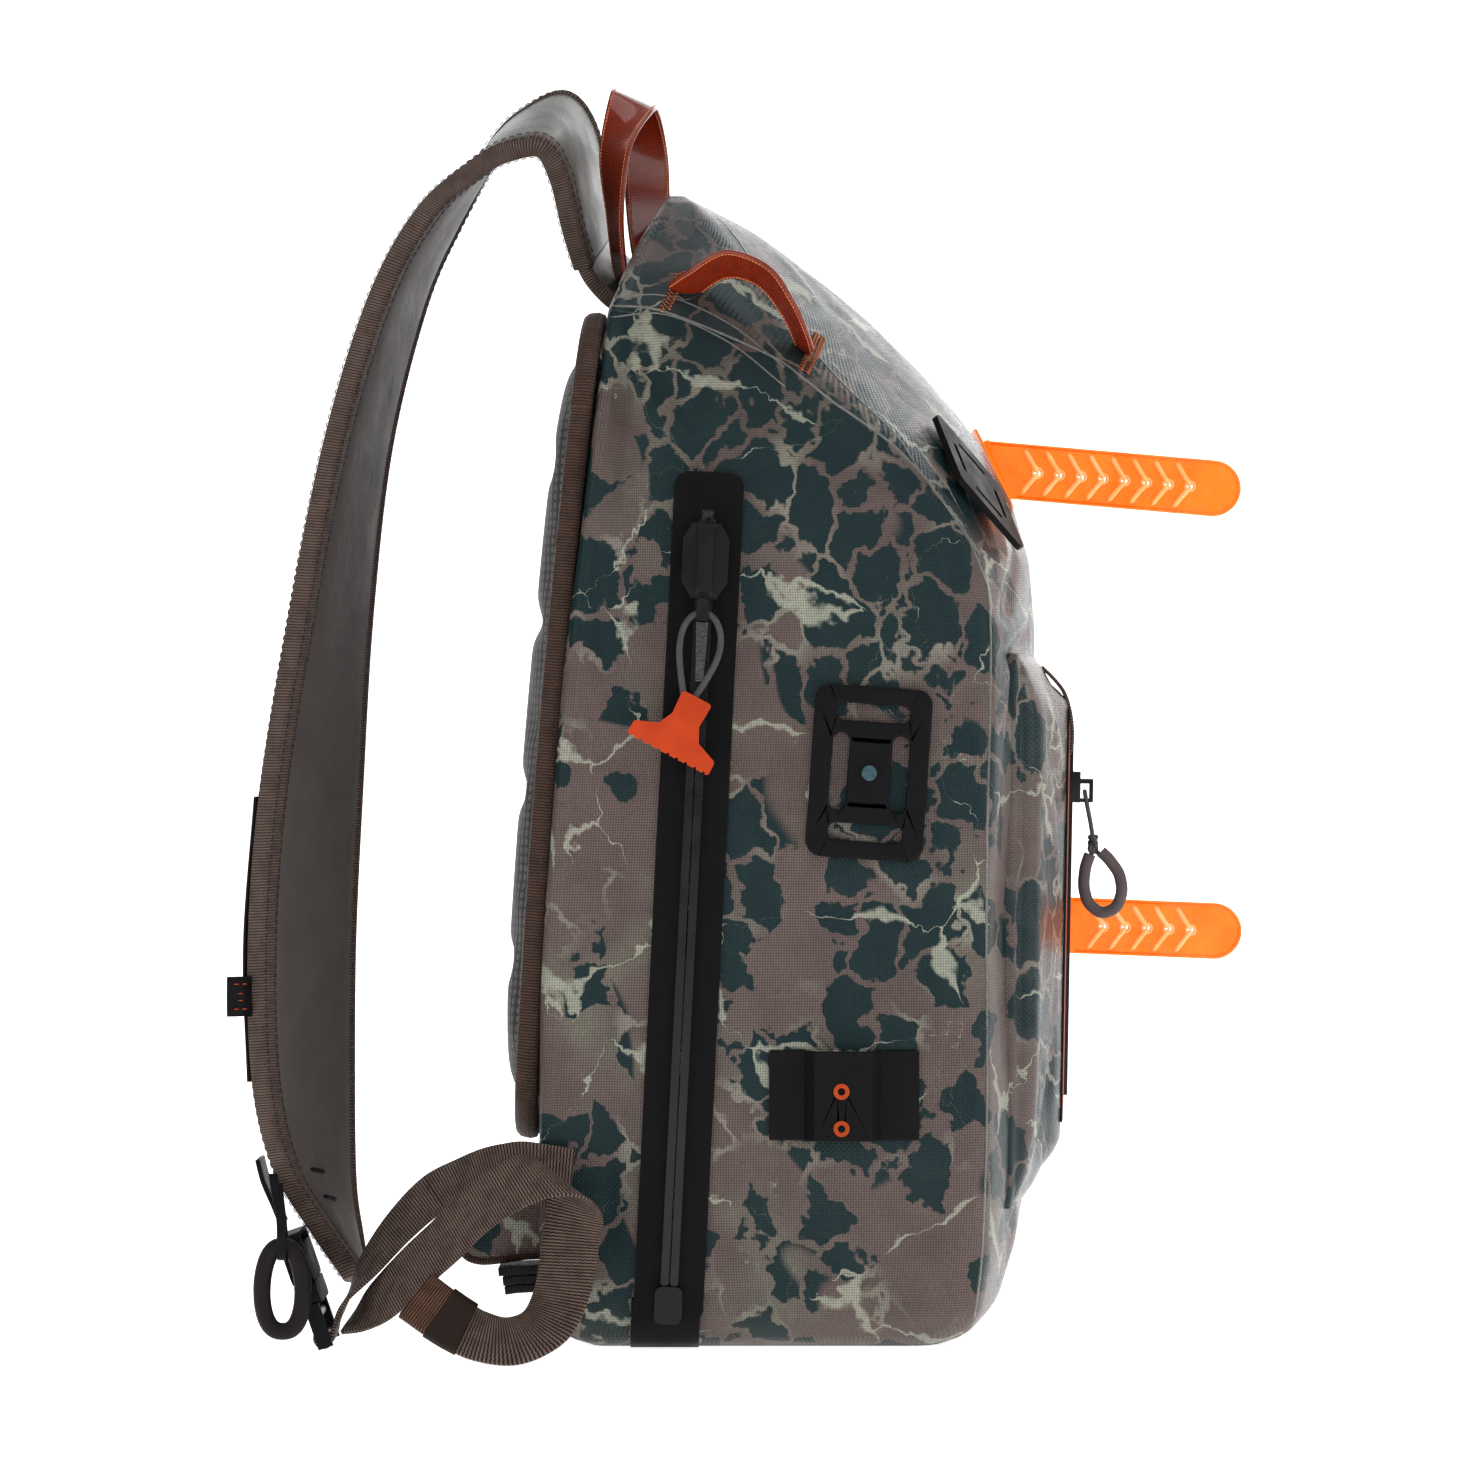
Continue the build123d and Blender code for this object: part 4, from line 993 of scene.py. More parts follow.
# where each cord passes under its slider's bridge: up from the zipper's middle, and out of its frame
BRIDGE_Y = math.dist(ZIP_LOW, ZIP_HIGH) / 2 - 36 - 15 - 4.4
Z_EYE = 1.2 + 0.1 + 0.35 + 8.1
POCKET_S = (POCKET_ZIP_HIGH - POCKET_ZIP_LOW) / 2 - 24 - 9
POCKET_EYE = 0.9 + 0.35 + 6.3


def main_pull(m):
    local = [(-6.0, -34.0, 4.6), (-8.4, -22.0, 3.4), (-8.6, -11.0, 1.2), (-5.6, -3.4, 0), (0.0, -0.3, 0),
             (5.6, -3.4, 0), (8.4, -12.0, 1.2), (6.0, -23.0, 3.4), (-1.4, -35.0, 4.6)]
    points = place(zip_frame(), [(x, y + BRIDGE_Y, z + Z_EYE) for x, y, z in local])
    obj = cord_curve("main_pull_cord_cover", points, 2.6)
    m["cord"].finish(obj)
    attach(obj, "main_pull")
    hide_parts("main_pull_cord")


def pocket_pull(m):
    local = [(-1.4, -20.5, 3.8), (-3.0, -14.6, 2.8), (-3.4, -8.0, 1.3), (-2.6, -1.9, 0.1), (2.6, -1.5, 0.1),
             (3.4, -8.0, 1.3), (3.0, -14.6, 2.8), (1.4, -20.5, 3.8)]
    axes = pocket_frame()
    points = place(axes, [(x, y + POCKET_S, z + POCKET_EYE) for x, y, z in local])
    obj = cord_curve("pocket_pull_cord_cover", points, 1.8)
    m["cord"].finish(obj)
    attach(obj, "pocket_pull")
    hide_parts("pocket_pull_cord")
    knot = overhand_knot(place(axes, [(0, POCKET_S - 23.5, POCKET_EYE + 4.0)])[0], axes)
    m["cord"].finish(knot)
    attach(knot, "pocket_pull")
    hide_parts("pocket_pull_knot")
    ends = []
    for side, foot in ((-1, (-28.2, 2.8)), (1, (-27.0, 7.4))):
        path = [(side * 0.8, -23.5, 4.0), (side * 1.2, -26.0, 4.2), (0, foot[0] - 1.5, foot[1])]
        path = place(axes, [(x, y + POCKET_S, z + POCKET_EYE) for x, y, z in path])
        ends.append(tube(curve_through(path, 5), 1.0, 8))
    ends = many_piece("pocket_pull_cord_ends", ends)
    m["cord"].finish(ends)
    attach(ends, "pocket_pull")


def overhand_knot(centre, axes):
    """A tight knot: a trefoil of the cord with both tails pulled in."""
    _, x, y, z = axes
    t = np.linspace(0, 2 * np.pi, 72, endpoint=False)
    a = (np.sin(t) + 2 * np.sin(2 * t)) * 1.15
    b = (np.cos(t) - 2 * np.cos(2 * t)) * 1.25
    c = -np.sin(3 * t) * 1.25
    line = centre + a[:, None] * x + b[:, None] * y + c[:, None] * z
    return many_piece("pocket_pull_knot_cord", [tube(line, 1.05, 10, closed=True)])


# ---------------------------------------------------------------- shoulder strap
STRAP_NEAR = [
    (-44, 76, 442), (-48, 81, 458), (-52, 86, 478), (-57, 93, 490), (-62, 107, 488), (-67, 119, 481),
    (-74, 140, 463), (-80, 160, 426), (-90, 177.5, 366), (-101, 191, 294), (-111, 202, 222),
    (-120, 205.5, 162), (-127, 203, 108), (-125, 195, 74), (-116, 182, 50), (-101, 168, 27)]
STRAP_FAR = [
    (27, 68, 464), (24, 71, 484), (20, 74, 508), (14, 84, 522), (6, 98, 516), (0, 113, 501), (-6, 132, 465),
    (-13, 146, 430), (-23, 160, 369), (-35, 167, 297), (-47, 170, 224), (-57, 172, 162), (-64, 172, 104),
    (-70, 171, 62), (-74, 168, 40), (-81, 164.5, 22)]


def binding_profile(stop, half):
    """A tape folded over the pad's edge, thicker at its rounded fold."""
    def profile(_):
        upper = [(stop, half - 1.0), (stop - 0.3, half), (stop * 0.55, half + 0.5), (stop * 0.25, half + 0.3)]
        fold = [(0.9 * (1 - math.cos(a)) * 1.2 - 0.2, half * math.sin(a) * 0.98)
                for a in np.linspace(math.radians(62), math.radians(-62), 9)]
        lower = [(u, -v) for u, v in upper[::-1]]
        return upper + fold + lower
    return profile


def edge_line(edge_a, edge_b, inward, lift, steps):
    """A line a distance in from edge a, lifted off the strap's middle surface, and its normals."""
    a, b = curve_through(edge_a, steps), curve_through(edge_b, steps)
    mid = (a + b) / 2
    across = unit(b - a)
    out = unit(np.cross(np.gradient(mid, axis=0), across))
    return a + across * inward + out * lift, out * np.sign(lift)


def strap_body(m):
    """Shell, foam, edge tapes and their stitches."""
    near, far = STRAP_NEAR, STRAP_FAR
    shell = band_piece("strap_shell_cloth", near, far, slab(9.6, -4.8, -3.2, -0.05, 0.8, 14, -0.3), 8)
    m["strap_shell"].finish(shell)
    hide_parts("strap_outer_shell")
    foam = band_piece("strap_foam_pad", near, far, slab(9.6, -4.8, 0.05, 3.2, 0.8, 14, 1.6), 8)
    m["foam"].finish(foam)
    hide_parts("strap_foam")
    near_tape = band_piece("strap_binding_near_tape", near, far, binding_profile(10.8, 3.9), 10)
    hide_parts("strap_binding_near")
    far_tape = band_piece("strap_binding_far_tape", far, near, binding_profile(5.8, 3.5), 10)
    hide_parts("strap_binding_far")
    for tape in (near_tape, far_tape):
        m["binding"].finish(tape)
    nets = []
    for a, b, inward in ((near, far, 9.4), (near, far, 2.4), (far, near, 4.8)):
        for lift in (4.35, -4.35):
            nets += stitch_nets(*edge_line(a, b, inward, lift, 8), pitch=3.6, radius=0.24)
    seams = many_piece("strap_stitches", nets)
    m["thread"].finish(seams)
    return [shell, foam, near_tape, far_tape, seams]


def strap_fittings(m):
    """The edge strip, the hangers, the tag and the pressed slots."""
    strip = band_piece("strap_edge_strip_tape", STRAP_NEAR[10:13], STRAP_FAR[10:13],
                       slab(0, 12, -5.6, -4.3, 0.5, 6), 10)
    m["black_rubber"].finish(strip)
    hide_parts("strap_edge_strip")
    hang = [(-112, 204, 76), (-115, 201.4, 67.5), (-118.5, 197.2, 59), (-121.5, 193.4, 50.8)]
    hanger = strap("hanger_webbing_tape", hang, [(1, 0, 0)] * 4, 21, 1.8)
    m["black_rubber"].finish(hanger)
    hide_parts("hanger_webbing")
    ring_loop = ring_hanger()
    m["black_rubber"].finish(ring_loop)
    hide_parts("ring_hanger")
    label = folded_label()
    m["black_rubber"].finish(label)
    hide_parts("strap_label")
    marks = label_marks()
    m["eyelet"].finish(marks)
    slots = embossed_slots()
    m["black_rubber"].finish(slots)
    return [strip, hanger, ring_loop, label, marks, slots]


def ring_hanger():
    """The narrow loop that the gear ring hangs on, from the hanger and round the ring's top."""
    x, y, z = RING_CENTRE
    z += 16.75
    a, b = x - 5.2, x + 5.2
    loop = [(-126, y + 3.4, z + 23), (-133, y + 2, z + 16), (b, y + 0.5, z + 9), (b, y, z + 1),
            (b - 1.2, y, z - 3.6), (x, y, z - 5.0), (a + 1.2, y, z - 3.6), (a, y, z + 1), (a, y, z + 8),
            (x - 1, y + 1, z + 13.5), (-136, y + 3.4, z + 19.5), (-127.5, y + 5.4, z + 27)]
    return strap("ring_hanger_tape", loop, [(0, 1, 0)] * len(loop), 3.6, 1.0)


def strap_tongue(m):
    """The thin tongue that joins the strap to the bag, with its piping."""
    tongue_a = [(-38, 58, 424), (-41, 66.5, 430), (-43.4, 74, 439), (-45.5, 78.5, 450)]
    tongue_b = [(24, 50, 446), (25.5, 59, 453.5), (26.8, 66, 461.2), (26, 69.5, 474)]
    tongue = band_piece("strap_tongue", tongue_a, tongue_b, slab(0, 0, -1.4, 1.4, 0.8, 12), 8)
    m["strap_shell"].finish(tongue)
    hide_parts("strap_anchor_tongue")
    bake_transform(tongue)
    piping = band_piece("strap_tongue_piping", tongue_a, tongue_b, binding_profile(7.5, 2.5), 8)
    m["binding"].finish(piping)
    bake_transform(piping)


def shoulder_strap(m):
    for obj in strap_body(m) + strap_fittings(m):
        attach(obj, "shoulder_strap")
    strap_tongue(m)


def label_axes():
    """The tag's centre, the way it sticks out and the way across its thickness."""
    angle = math.radians(LABEL_TURN)
    out = np.array([-math.sin(angle), math.cos(angle), 0])
    across = np.array([math.cos(angle), math.sin(angle), 0])
    return np.array(LABEL_CENTRE), out, across


def folded_label():
    """A small folded tag that sticks out from under the strap's edge strip."""
    centre, out, across = label_axes()
    line = [(-5.4, 0.5), (0, 0.62), (4.4, 0.5), (5.2, 0.0), (4.4, -0.5), (0, -0.62), (-5.4, -0.5)]
    rows = []
    for z in np.linspace(-8, 8, 7):
        sag = 0.25 * math.cos(z / 8 * 1.5)
        rows.append([centre + out * u + across * (v + sag) + np.array([0, 0, z]) for u, v in line])
    return grid_piece("strap_label_tag", np.array(rows) * MM, closed=True, caps=True)


def label_marks():
    """Plain stitched dashes on the tag."""
    centre, out, across = label_axes()
    nets = []
    for side in (-1, 1):
        for u, z in ((-2, 5), (1.4, 5), (-2, -5), (1.4, -5), (-0.3, 1.2), (-0.3, -1.6)):
            a = centre + out * (u - 1.0) + across * side * 0.85 + np.array([0, 0, z])
            nets.append(tube([a, a + out * 1.0, a + out * 2.0], 0.22, 6, taper=True))
    return many_piece("strap_label_marks", nets)


def embossed_slots():
    """Two dark pressed slots across the strap's face near its lower end."""
    nets = []
    steps, lift = 20, 4.9
    a, b = curve_through(STRAP_NEAR, steps), curve_through(STRAP_FAR, steps)
    for station in (13.0, 13.45):
        i = int(station * steps)
        mid = (a[i] + b[i]) / 2
        across = unit(b[i] - a[i])
        along = unit((a[i + 1] + b[i + 1]) / 2 - mid)
        out = unit(np.cross(along, across))
        centre = a[i] + across * 24 + out * lift
        line = [centre + across * t for t in np.linspace(-6, 6, 7)]
        nets.append(tube(line, 0.9, 8, taper=True))
    return many_piece("strap_pressed_slots", nets)


# ---------------------------------------------------------------- gear ring
def gear_ring(m):
    """A thick moulded ring, a little egg-shaped, that hangs on its loop."""
    x, y, z = RING_CENTRE
    line = []
    for a in np.linspace(0, 2 * np.pi, 56, endpoint=False):
        wide = 8.2 * math.copysign(abs(math.cos(a)) ** 0.8, math.cos(a)) * (1 - 0.06 * math.sin(a))
        line.append((x + 0.5 * math.cos(a), y + wide, z + 16.9 * math.sin(a)))
    body = many_piece("gear_ring_loop", [tube(line, RING_THICK, 14, closed=True)])
    m["ring"].finish(body)
    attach(body, "gear_ring")
    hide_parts("gear_ring")


# ---------------------------------------------------------------- lower webbing
def anchor_run():
    """The webbing's centre line from the bar up to the bag, and the way across it at each point."""
    x, y, z = BAR
    run = [(x, y - 8, z + 14), (x + 3, y - 17, z + 28), (x + 7, y - 29, z + 43), (x + 6.5, y - 43, z + 56),
           (x + 1, y - 58, z + 63), (-128, 103, 71.5), (-133.2, 91, 71.5), (-133.2, 77, 69)]
    turn = [(1, 0, 0), (.93, .28, .2), (.85, .4, .3), (.8, .4, .45), (.75, .3, .6), (.4, .2, .88), (0, 0, 1),
            (0, -.1, 1)]
    return run, turn


def lower_webbing(m):
    """The anchor on the bag, and the adjuster that goes on from it and round the bar."""
    x, y, z = BAR
    run, turn = anchor_run()
    steps = 8
    profile = webbing_profile(WEBBING_W, WEBBING_T)
    anchor = band_piece("anchor_webbing_tape", *edges_of(run, turn, WEBBING_W), profile, steps, 3 * steps)
    m["brown_webbing"].finish(anchor)
    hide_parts("anchor_webbing")
    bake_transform(anchor)
    wrap = [(x, y - 4.2, z + 5), (x, y - 3.2, z + 0.5), (x, y - 1.6, z - 2.9), (x, y + 1.4, z - 3.3),
            (x, y + 3.4, z - 1), (x, y + 3.4, z + 1.6)]
    line = run[4::-1] + wrap
    lean = turn[4::-1] + [(1, 0, 0)] * len(wrap)
    adjuster = band_piece("adjuster_webbing_tape", *edges_of(line, lean, WEBBING_W), profile, steps, steps)
    m["brown_webbing"].finish(adjuster)
    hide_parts("adjuster_webbing")
    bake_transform(adjuster)


def loose_tail(m):
    """The free end of the webbing, with its folded tip and the keeper on it."""
    x, y, z = BAR
    tail = [(x - 1, y - 7, z + 2.4), (-127, 162, 12.5), (-133, 153, 21), (-138, 139.5, 34.5),
            (-143, 126, 47), (-147, 116, 57.5), (-151, 103, 67), (-153, 91, 72.5), (-152.5, 80.5, 70.5),
            (-150, 75.5, 59), (-150, 77.5, 43), (-153, 80.5, 26), (-159, 87, 14), (-164, 99, 9),
            (-163, 113, 11), (-160, 126, 18), (-156.5, 138, 26)]
    twist = [(1, 0, 0), (.95, .2, .2), (.8, .35, .45), (.74, .4, .52), (.72, .42, .55), (.7, .42, .58),
             (.68, .42, .6), (.62, .5, .6), (.5, .72, .48), (.4, .9, .2), (.4, .92, 0), (.45, .88, .05),
             (.6, .7, .35), (.74, .25, .62), (.74, -.2, .64), (.7, -.42, .58), (.66, -.48, .58)]
    loose = strap("tail_webbing_tape", tail, twist, WEBBING_W, WEBBING_T, 10)
    m["brown_webbing"].finish(loose)
    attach(loose, "buckle_half")
    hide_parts("tail_webbing")
    a, b = edges_of(tail, twist, WEBBING_W)
    end_fold = band_piece("tail_end_fold", a, b, slab(0.4, -0.4, -1.7, 1.7, 0.6, 8), 10, 150, 161)
    m["tail_end"].finish(end_fold)
    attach(end_fold, "buckle_half")
    keep = [(-162, 117.5, 13.2), (-160.7, 123, 16.2), (-159.3, 128.5, 19.6)]
    grip = [(.73, -.3, .61), (.71, -.38, .59), (.69, -.43, .58)]
    a, b = edges_of(keep, grip, WEBBING_W + 1.4)
    keeper = band_piece("webbing_keeper_sleeve", a, b, slab(0, 0, -2.0, 2.0, 1.4, 8, 0.3), 8)
    m["keeper"].finish(keeper)
    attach(keeper, "buckle_half")
    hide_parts("webbing_keeper")


# ---------------------------------------------------------------- handles
def handle(m, name, node, centres, acrosses, width):
    """A webbing grab loop with thread along both edges."""
    a, b = edges_of(centres, acrosses, width)
    loop = band_piece(name, a, b, slab(0, 0, -0.8, 0.8, 0.7, 10), 10)
    m["orange_webbing"].finish(loop)
    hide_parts(node)
    nets = []
    for first, second in ((a, b), (b, a)):
        for lift in (0.8, -0.8):
            line, _ = edge_line(first, second, 1.5, lift, 10)
            nets.append(tube(line, 0.32, 6))
    threads = many_piece(name + "_edges", nets)
    m["orange_edge"].finish(threads)
    for obj, slot in ((loop, "orange_webbing"), (threads, "orange_thread")):
        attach(obj, "pack")


def zigzag(points, normals, amplitude, pitch):
    """A tight zigzag of thread along a line on a surface."""
    along = unit(np.gradient(points, axis=0))
    across = unit(np.cross(normals, along))
    run = arc_lengths(points)
    out = []
    for k, s in enumerate(np.arange(0, run[-1], pitch)):
        at, n, c = [np.array([np.interp(s, run, v[:, i]) for i in range(3)])
                    for v in (points, normals, across)]
        out.append(at + c * amplitude * (1 if k % 2 else -1) + n * 0.35)
    return tube(out, 0.32, 6)


def handles(m, tree):
    side = [(-97, 36, 424), (-106, 30, 429), (-115, 16, 436.5), (-122, 1, 431.5), (-121, -9, 419),
            (-113, -15, 407), (-103, -18, 400)]
    lean = [(-.75, .3, .6), (-.85, .1, .5), (-.88, 0, .47), (-.93, -.2, .3), (-.95, -.2, .2), (-.95, -.2, .2),
            (-.95, -.15, .2)]
    handle(m, "side_handle_loop", "side_handle", side, lean, 20)
    grab = [(-22, 58.5, 434), (-26, 61, 446), (-29, 62.8, 468), (-27, 62.5, 494), (-13, 56, 516),
            (7, 54, 517), (21, 51, 500), (26, 50, 478), (25, 48.5, 460), (22, 46, 444)]
    wide = [(1, .2, 0), (.97, .25, 0), (.94, .34, 0), (.75, .65, -.1), (.2, .9, .35), (-.1, .93, .33),
            (-.35, .9, .1), (-.4, .9, 0), (-.5, .85, 0), (-.6, .8, 0)]
    handle(m, "grab_handle_loop", "grab_handle", grab, wide, 21)
    nets = []
    for y, z in ((35, 428), (38, 427), (-18.5, 403), (-21, 401.5)):
        points, normals = on_side(tree, [(y + 4, z - 9), (y, z), (y - 3, z + 8)], 8)
        if len(points) > 4:
            nets.append(zigzag(points, normals, 1.1, 0.9))
    tacks = many_piece("side_handle_bar_tacks", nets)
    m["orange_edge"].finish(tacks)
    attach(tacks, "pack")
    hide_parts("side_handle_tacks")


# ---------------------------------------------------------------- lash straps
def lash_details(m):
    """Raised chevrons with an eye at each point, and a rim round both faces."""
    both = (("upper", 361.0, -101.6, 9.0, 0.48), ("lower", 165.0, -132.0, 3.0, 0.02))
    for name, z, root, drop, rake in both:
        length = root + 206.0
        slope = drop / length
        origin = np.array([8.0, root, z])
        along = np.array([0, -math.cos(slope), -math.sin(slope)])
        up = np.array([0, -math.sin(slope), math.cos(slope)])
        nets, pale, edge = [], [], []
        for face in (-1.0, 1.0):
            out = np.array([face, 0, 0])
            for k in range(int((length - 26) / 9.4)):
                tip = length - 22 - 9.4 * k
                arms = [(tip - 6.4, 9.6), (tip - 3.0, 4.6), (tip + 0.4, 0.2)]
                for sign in (1, -1):
                    line = [origin + along * u + up * (v * sign) + out * 1.5 for u, v in arms]
                    nets.append(tube(curve_through(line, 4), 1.15, 8, taper=True))
                ring = [origin + along * (tip + 2.05 * math.cos(a)) + up * (2.05 * math.sin(a)) + out * 1.5
                        for a in np.linspace(0, 2 * np.pi, 18, endpoint=False)]
                pale.append(tube(ring, 0.55, 6, closed=True))
            lean = 12 * (rake + slope)
            rim = [(lean + 2, -10.9), (length - 12, -10.9)]
            rim += [(length - 12 + 10.9 * math.sin(a), -10.9 * math.cos(a))
                    for a in np.linspace(0.1, 3.04, 18)]
            rim += [(length - 12, 10.9), (2 - lean, 10.9)]
            edge.append(tube([origin + along * u + up * v + out * 1.35 for u, v in rim], 0.45, 6))
        made = (("ribs", nets, "lash_rib"), ("rings", pale, "lash_rib"), ("rim", edge, "lash_rim"))
        for part, found, finish in made:
            piece = many_piece("lash_" + name + "_" + part, found)
            m[finish].finish(piece)
            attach(piece, "lash_strap_" + name)


# ---------------------------------------------------------------- welds and patches on the bag
def weld_lines(m, tree):
    nets = []
    for sign in (-1, 1):
        points, normals = on_side(tree, SEAM, 10, 0.1, sign)
        nets.append(bead(points, normals, 1.1, 0.35))
        for offset in (0, 8.0):
            patch = [(62, 424 - offset), (40, 425 - offset), (14, 413 - offset), (-8, 395 - offset)]
            points, normals = on_side(tree, patch, 8, 0.05, sign)
            nets.append(bead(points, normals, 0.7, 0.2))
    for sign in (-1, 1):
        line = [(sign * x, z) for x, z in ((56, 462), (84, 430), (104, 396), (120, 352))]
        points, normals = on_front(tree, line, 8, 0.05)
        if len(points) > 4:
            nets.append(bead(points, normals, 1.0, 0.25))
    seams = many_piece("weld_beads", nets)
    m["weld"].finish(seams)
    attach(seams, "pack")


def zip_foot(m):
    """The tape's lower end, which turns in under the bag's rounded foot."""
    line = [(-130.6, 39.6, 22), (-130.4, 39.8, 15), (-129.2, 40.0, 9), (-126.0, 40.2, 4), (-121.5, 40.3, 1.2)]
    a, b = edges_of(line, [(0, 1, 0)] * len(line), 27.6)
    foot = band_piece("main_zip_tape_foot", a, b, slab(0, 0, -0.5, 0.5, 0.4, 6), 6)
    m["zip_rubber"].finish(foot)
    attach(foot, "pack")


# ---------------------------------------------------------------- front pocket
POCKET_STATIONS = [(54, 0.5), (66, 7), (82, 10.5), (110, 12), (180, 13), (254, 13.5), (268, 9), (280, 0.5)]
POCKET_CREASES = [                     # (x, z) from, to, depth, width
    (((-84, 250), (-52, 216)), 2.6, 5), (((-90, 228), (-62, 176)), 1.8, 5), (((84, 250), (40, 205)), 2.6, 6),
    (((0, 256), (14, 190)), 1.8, 6), (((-70, 70), (-52, 120)), 1.6, 5), (((76, 70), (56, 130)), 1.8, 6)]


def pocket_out(z):
    """How far the pocket stands out of the bag's front at height z."""
    table = np.array(POCKET_STATIONS, float)
    near = np.clip(z + np.linspace(-9, 9, 13), POCKET_LOW, POCKET_HIGH)
    out = float(np.interp(near, table[:, 0], table[:, 1]).mean())
    return 0.5 + (out - 0.5) * min(1.0, (z - POCKET_LOW) / 4.0, (POCKET_HIGH - z) / 4.0)


def pocket_line(z):
    """The pocket's outline at height z, from the near flange over the rim and the face to the far flange."""
    out = pocket_out(z)
    half, _, seam, front = level_at(z)
    wide = POCKET_HALF_W
    base = front_arc(wide, half, seam, front)
    rim = base - out * 0.7
    mid = front - out
    rise = rim - mid
    radius = (wide * wide + rise * rise) / (2 * rise)
    x = np.linspace(-wide + 9.0, wide - 9.0, 96)
    y = mid + radius - np.sqrt(radius * radius - x * x)
    turn = corner((-wide, base - out * 0.1), (-wide, rim), (x[0], y[0]), 6)
    flange = [(-wide - w, front_arc(wide + w, half, seam, front) + lift)
              for w, lift in ((7.5, 5.0), (6.5, -0.2), (6.3, -1.1), (1.2, -1.2))]
    left = flange + [(-wide, base - out * 0.1 - 1.2)] + [tuple(p) for p in turn]
    right = [(-a, b) for a, b in left[::-1]]
    return np.array(left + list(zip(x, y)) + right)


def pocket_nets():
    """The pocket's net, sagged between its welds and drawn on to the zipper's tape, with its cloth map."""
    rows, uvs = [], []
    for z in np.linspace(POCKET_LOW, POCKET_HIGH, 98):
        line = pocket_line(z)
        rows.append(np.column_stack([line, np.full(len(line), z)]))
        run = arc_lengths(line)
        uvs.append(np.column_stack([run, np.full(len(run), z)]) * MM)
    net = np.array(rows)
    x, z = net[..., 0], net[..., 2]
    free = np.clip((88 - np.abs(x)) / 16, 0, 1) * np.clip((z - 60) / 16, 0, 1) * np.clip((274 - z) / 14, 0, 1)
    from_zip = x - POCKET_ZIP_X
    beside = np.clip(np.abs(from_zip) / 14 - 0.9, 0, 1)
    soft = np.array([[noise.noise(Vector((a * 0.02, 5.0, c * 0.014))) for a, _, c in row] for row in net])
    folds = sum(crease(x, z, *fold) for fold in POCKET_CREASES)
    net[..., 1] -= (soft * 3.4 + folds) * free * beside
    zone = np.clip(1.6 - np.abs(from_zip) / 16, 0, 1)
    zone *= np.clip((z - 66) / 12, 0, 1) * np.clip((268 - z) / 8, 0, 1)
    tape_face = pocket_face(z) - 0.9 - 0.087 * from_zip
    y = net[..., 1]
    net[..., 1] = y * (1 - zone) + np.minimum(y, tape_face) * zone
    uv = np.zeros((net.shape[0], net.shape[1] + 1, 2))
    uv[:, :-1] = np.array(uvs)
    uv[:, -1] = uv[:, -2]
    return net, uv


def front_pocket(m):
    """A shallow pocket with a rounded rim and a welded flange."""
    net, uv = pocket_nets()
    obj = grid_piece("front_pocket_skin", net * MM, uv)
    thick = obj.modifiers.new("thickness", "SOLIDIFY")
    thick.thickness = 0.0012
    thick.offset = -1
    apply_modifiers(obj)
    paint(obj, "side_panel", [0.0] * len(obj.data.vertices))
    paint(obj, "near_ground", [0.0] * len(obj.data.vertices))
    m["camo"].finish(obj)
    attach(obj, "pack")
    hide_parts("front_pocket")


def pocket_zip_details(m):
    """The webbing tab over the zipper's upper end, and the thin trim along both sides of its tape."""
    arch = [(POCKET_ZIP_X, y, z) for y, z in (
        (-117.5, 275.5), (-122.2, 271), (-126.8, 265), (-129.4, 257), (-130.4, 248), (-130.0, 241),
        (-128.6, 238.5))]
    garage = strap("pocket_garage_webbing", arch, [(1, -0.087, 0)] * len(arch), 17, 1.5, 6)
    m["brown_webbing"].finish(garage)
    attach(garage, "pack")
    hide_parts("pocket_zip_garage", "pocket_garage_loop")
    axes = pocket_frame()
    lines = [place(axes, [(side * 8.8, v, 0.5) for v in np.linspace(-84, 84, 40)]) for side in (-1, 1)]
    trim = many_piece("pocket_zip_trim", [tube(line, 0.6, 6, taper=True) for line in lines])
    m["coral"].finish(trim)
    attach(trim, "pack")


# ---------------------------------------------------------------- back pad
def back_frame():
    """The pad's middle, the ways across, up and out of it, and its length, in millimetres."""
    low, high = np.array([0, *PAD_LOW]), np.array([0, *PAD_HIGH])
    up = unit(high - low)
    across = np.array([-1.0, 0, 0])
    origin = (low + high) / 2 + np.array([0, 0.3, 0])
    return origin, across, up, np.cross(across, up), np.linalg.norm(high - low)


def rounded_rectangle(width, height, radius):
    """Points round a rectangle with rounded corners, at most 7 mm or so apart."""
    out = []
    for cx, cy, start in ((1, 1, 0), (-1, 1, 90), (-1, -1, 180), (1, -1, 270)):
        for a in np.linspace(start, start + 90, 18):
            out.append((cx * (width / 2 - radius) + radius * math.cos(math.radians(a)),
                        cy * (height / 2 - radius) + radius * math.sin(math.radians(a))))
    points = np.array(out)
    dense = []
    for p, q in zip(points, np.roll(points, -1, 0)):
        n = max(1, int(np.linalg.norm(q - p) / 7))
        dense += [p + (q - p) * k / n for k in range(n)]
    return np.array(dense)


